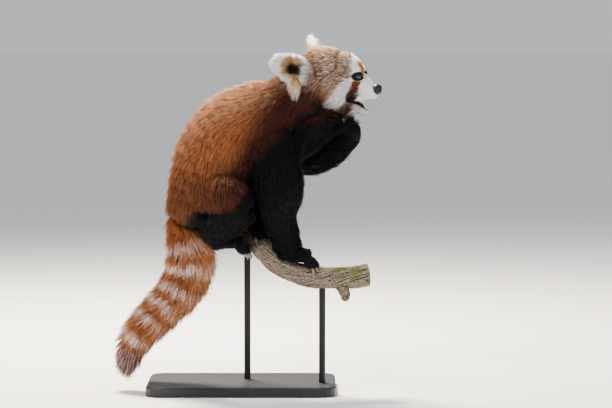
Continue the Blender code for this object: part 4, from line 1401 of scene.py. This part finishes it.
def bark_height(u, turn, swell):
    """How far the bark stands out at a place on a limb, in millimetres."""
    twist = turn + GRAIN_TWIST * u
    broad, grain, fine, scale = (
        noise.noise(Vector((u * along, around * math.cos(way), around * math.sin(way))))
        for along, around, way in ((0.7, 1.6, turn), (0.9, 4.5, twist), (2.5, 12, twist), (12, 13, turn))
    )
    furrow, crack = (max(0.0, 1 - abs(value) / FURROW_WIDTH) for value in (grain, fine))
    return broad * swell - FURROW * furrow - CRACK * crack + SCALE * scale


def limb_of_bark(shape, rows, steps, segments, swell, taper):
    """A barked length of wood along its rows. taper is how much of its radius the far end loses."""
    spots = stations([(*row, row[3]) for row in rows], steps)
    side_way = Vector((0, 1, 0)) if abs(spots[0][2].y) < 0.5 else Vector((1, 0, 0))
    for k, ring in enumerate(grow_rings(shape, segments, steps)):
        u, centre, heading, radius, _ = spots[k]
        side_way = (side_way - heading * side_way.dot(heading)).normalized()
        up_way = side_way.cross(heading)
        shrink = 1 - taper * max(0, k / (steps - 1) - (1 - TAPERED)) / TAPERED
        for n, v in enumerate(ring):
            turn = 2 * math.pi * n / segments
            out_way = up_way * math.cos(turn) + side_way * math.sin(turn)
            v.co = centre + out_way * (radius * shrink + bark_height(u, turn, swell) * MM)
    close_ends(shape)


wood = bmesh.new()
limb_of_bark(wood, BRANCH, steps=260, segments=110, swell=4.0, taper=0)
branch = new_piece("branch_bark", wood)
twig = bmesh.new()
limb_of_bark(twig, STUB, steps=40, segments=48, swell=1.5, taper=0.5)
join_or_cut(branch, [new_piece("stub", twig)], "UNION")
print("branch:", len(branch.data.polygons), "faces")


# %% The branch's bark and sawn ends
def hollowness(mesh):
    """How far each point's neighbours stand out from it, along its normal, in millimetres."""
    spots = array_of(mesh.vertices, "co", 3)
    normals = array_of(mesh.vertices, "normal", 3)
    edges = array_of(mesh.edges, "vertices", 2, np.int32)
    total, count = np.zeros_like(spots), np.zeros(len(spots))
    for a, b in ((0, 1), (1, 0)):
        np.add.at(total, edges[:, a], spots[edges[:, b]])
        np.add.at(count, edges[:, a], 1)
    return ((total / count[:, None] - spots) * normals).sum(axis=1) / MM


spots = array_of(branch.data.vertices, "co", 3)
normals = array_of(branch.data.vertices, "normal", 3)
hollow = hollowness(branch.data) + 0.08 * wander(spots, 3, 61)
tones_of_bark = np.tile(tint("#7d6e60"), (len(spots), 1))
tones_of_bark = mixed(tones_of_bark, step_up(-0.3, 0.8, wander(spots, 12, 62)), tint("#5c4f45"))
tones_of_bark = mixed(tones_of_bark, step_up(0.0, -0.25, hollow), tint("#a39789"))
tones_of_bark = mixed(tones_of_bark, step_up(0.02, 0.22, hollow), tint("#241d18"))
x = spots[:, 0] / MM
on_top = step_up(0.1, 0.6, wander(spots, 7, 63) + 0.8 * normals[:, 2])
moss = step_up(150, 190, x) * step_up(236, 215, x) * on_top
tones_of_bark = mixed(tones_of_bark, 0.75 * moss, tint("#66702c"))
set_colours(branch.data, tones_of_bark)

bark, bark_shader = new_material("furrowed_bark", roughness=0.92, ior=1.5)
add_relief(bark, bark_shader, "ShaderNodeTexNoise", 2.5, "Fac", (0.9, 1.0), Detail=5.0)


WAVES_PER_UNIT = 20  # how many rings the wave texture draws at a scale of 1
END_CORNERS = 50  # only a sawn end has more corners than this
END_REACH = 50  # the first end lies within this of the branch's first row, in millimetres
YEAR = 2.4  # the width of a year's ring in millimetres, coarser than real so that it shows


def sawn_wood(name, row):
    """End grain: rings about the branch's middle."""
    material, shader = new_material(name, "#a98a63", roughness=0.8, ior=1.5)
    where = add_node(material, "ShaderNodeTexCoord")
    centre = add_node(
        material, "ShaderNodeMapping", inputs={"Location": [-c * MM for c in row[:3]]},
        links=[(where.outputs["Object"], "Vector")],
    )
    rings = add_node(
        material, "ShaderNodeTexWave", {"wave_type": "RINGS", "rings_direction": "SPHERICAL"},
        {"Scale": 1 / (WAVES_PER_UNIT * YEAR * MM), "Distortion": 1.5, "Detail": 3.0},
        [(centre.outputs["Vector"], "Vector")],
    )
    ramp = add_node(material, "ShaderNodeValToRGB", links=[(rings.outputs["Fac"], "Fac")])
    for stop, colour in zip(ramp.color_ramp.elements, ("#a98a63", "#d3b88f")):
        stop.color = (*linear(colour), 1)
    link(material, ramp.outputs["Color"], shader, "Base Color")
    return material


dress(branch, bark)
for k, row in enumerate((BRANCH[0], BRANCH[-1])):
    branch.data.materials.append(sawn_wood(f"sawn_end_grain_{k + 1}", row))
for face in branch.data.polygons:
    if len(face.vertices) > END_CORNERS:
        from_first = (face.center - Vector(BRANCH[0][:3]) * MM).length
        face.material_index = 1 if from_first < END_REACH * MM else 2
        face.use_smooth = False
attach(branch, "root")
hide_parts("perch_branch")

# %% [markdown]
# ## Stand
#
# The display stand is plain: a dark painted board and two steel rods with black powder coat. Its
# solids already have the right shape, so they only get their finishes. Satin paint dries with a
# faint orange peel, and powder coat with a finer one, which breaks up their highlights a little.

# %% The stand's finishes
board, board_shader = new_material("satin_painted_board", "#2b2c30", roughness=0.42, ior=1.5)
steel, steel_shader = new_material("powder_coated_steel", "#1d1e21", roughness=0.5, ior=1.5)
for material, shader, size in ((board, board_shader, 1.5), (steel, steel_shader, 0.6)):
    add_relief(material, shader, "ShaderNodeTexNoise", size, "Fac", (0.15, 0.1), Detail=1.0)
for name, material in (("stand_base", board), ("stand_rod_front", steel), ("stand_rod_rear", steel)):
    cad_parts[name].data.materials.clear()
    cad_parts[name].data.materials.append(material)

# %% [markdown]
# ## Stage, light and camera
#
# The floor is plain, pale, matt paper that runs so far that its edge all but melts into the air
# behind it. A broad key light stands high behind the camera on the left, a large soft fill opens
# the dark fur, and a strong light from above and behind draws the bright edge along the back that
# daylight gives. The camera stands far off with a long lens, near the animal's own height, and
# looks along +Y.

# %% Stage, light and camera
FLOOR_HALF = 60  # half the floor's width, in metres
paper = bmesh.new()
bmesh.ops.create_grid(paper, x_segments=1, y_segments=1, size=FLOOR_HALF)
floor = new_piece("floor", paper)
paper_finish, _ = new_material("matt_paper", "#f7f6f4", roughness=0.9, ior=1.45)
floor.data.materials.append(paper_finish)

world = bpy.context.scene.world or bpy.data.worlds.new("studio")
bpy.context.scene.world = world
world.use_nodes = True
sky = world.node_tree.nodes["Background"]
sky.inputs["Color"].default_value = (*linear("#d6d8dc"), 1)
sky.inputs["Strength"].default_value = 0.75

LOOK_AT = Vector((0.120, 0.0, 0.348))
# Each light's place and width in metres, its power in watts and its colour
LIGHTS = {
    "key": ((-1.3, -2.2, 2.4), 0.9, 52, "#fff6ea"),
    "fill": ((2.2, -1.8, 0.9), 1.6, 14, "#eaf1ff"),
    "rim": ((-0.5, 1.3, 2.3), 0.8, 190, "#fff4e6"),
}
for name, (spot, size, power, colour) in LIGHTS.items():
    lamp = bpy.data.lights.new(name, "AREA")
    lamp.shape = "DISK"
    lamp.size = size
    lamp.energy = power
    lamp.color = linear(colour)
    light = bpy.data.objects.new(name, lamp)
    light.location = spot
    light.rotation_euler = (LOOK_AT - Vector(spot)).to_track_quat("-Z", "Y").to_euler()
    bpy.context.scene.collection.objects.link(light)

FRAME_WIDTH = 1.14  # of the subject, in metres
DISTANCE = 5.5
ELEVATION = math.radians(3.5)
SENSOR = 36  # in millimetres
view = bpy.data.cameras.new("view")
view.sensor_width = SENSOR
view.lens = SENSOR * DISTANCE / FRAME_WIDTH
camera = bpy.data.objects.new("camera", view)
camera.location = LOOK_AT + Vector((0, -math.cos(ELEVATION), math.sin(ELEVATION))) * DISTANCE
camera.rotation_euler = (LOOK_AT - camera.location).to_track_quat("-Z", "Y").to_euler()
bpy.context.scene.collection.objects.link(camera)
bpy.context.scene.camera = camera
bpy.context.scene.view_settings.view_transform = "AgX"
bpy.context.scene.view_settings.look = "AgX - Medium High Contrast"
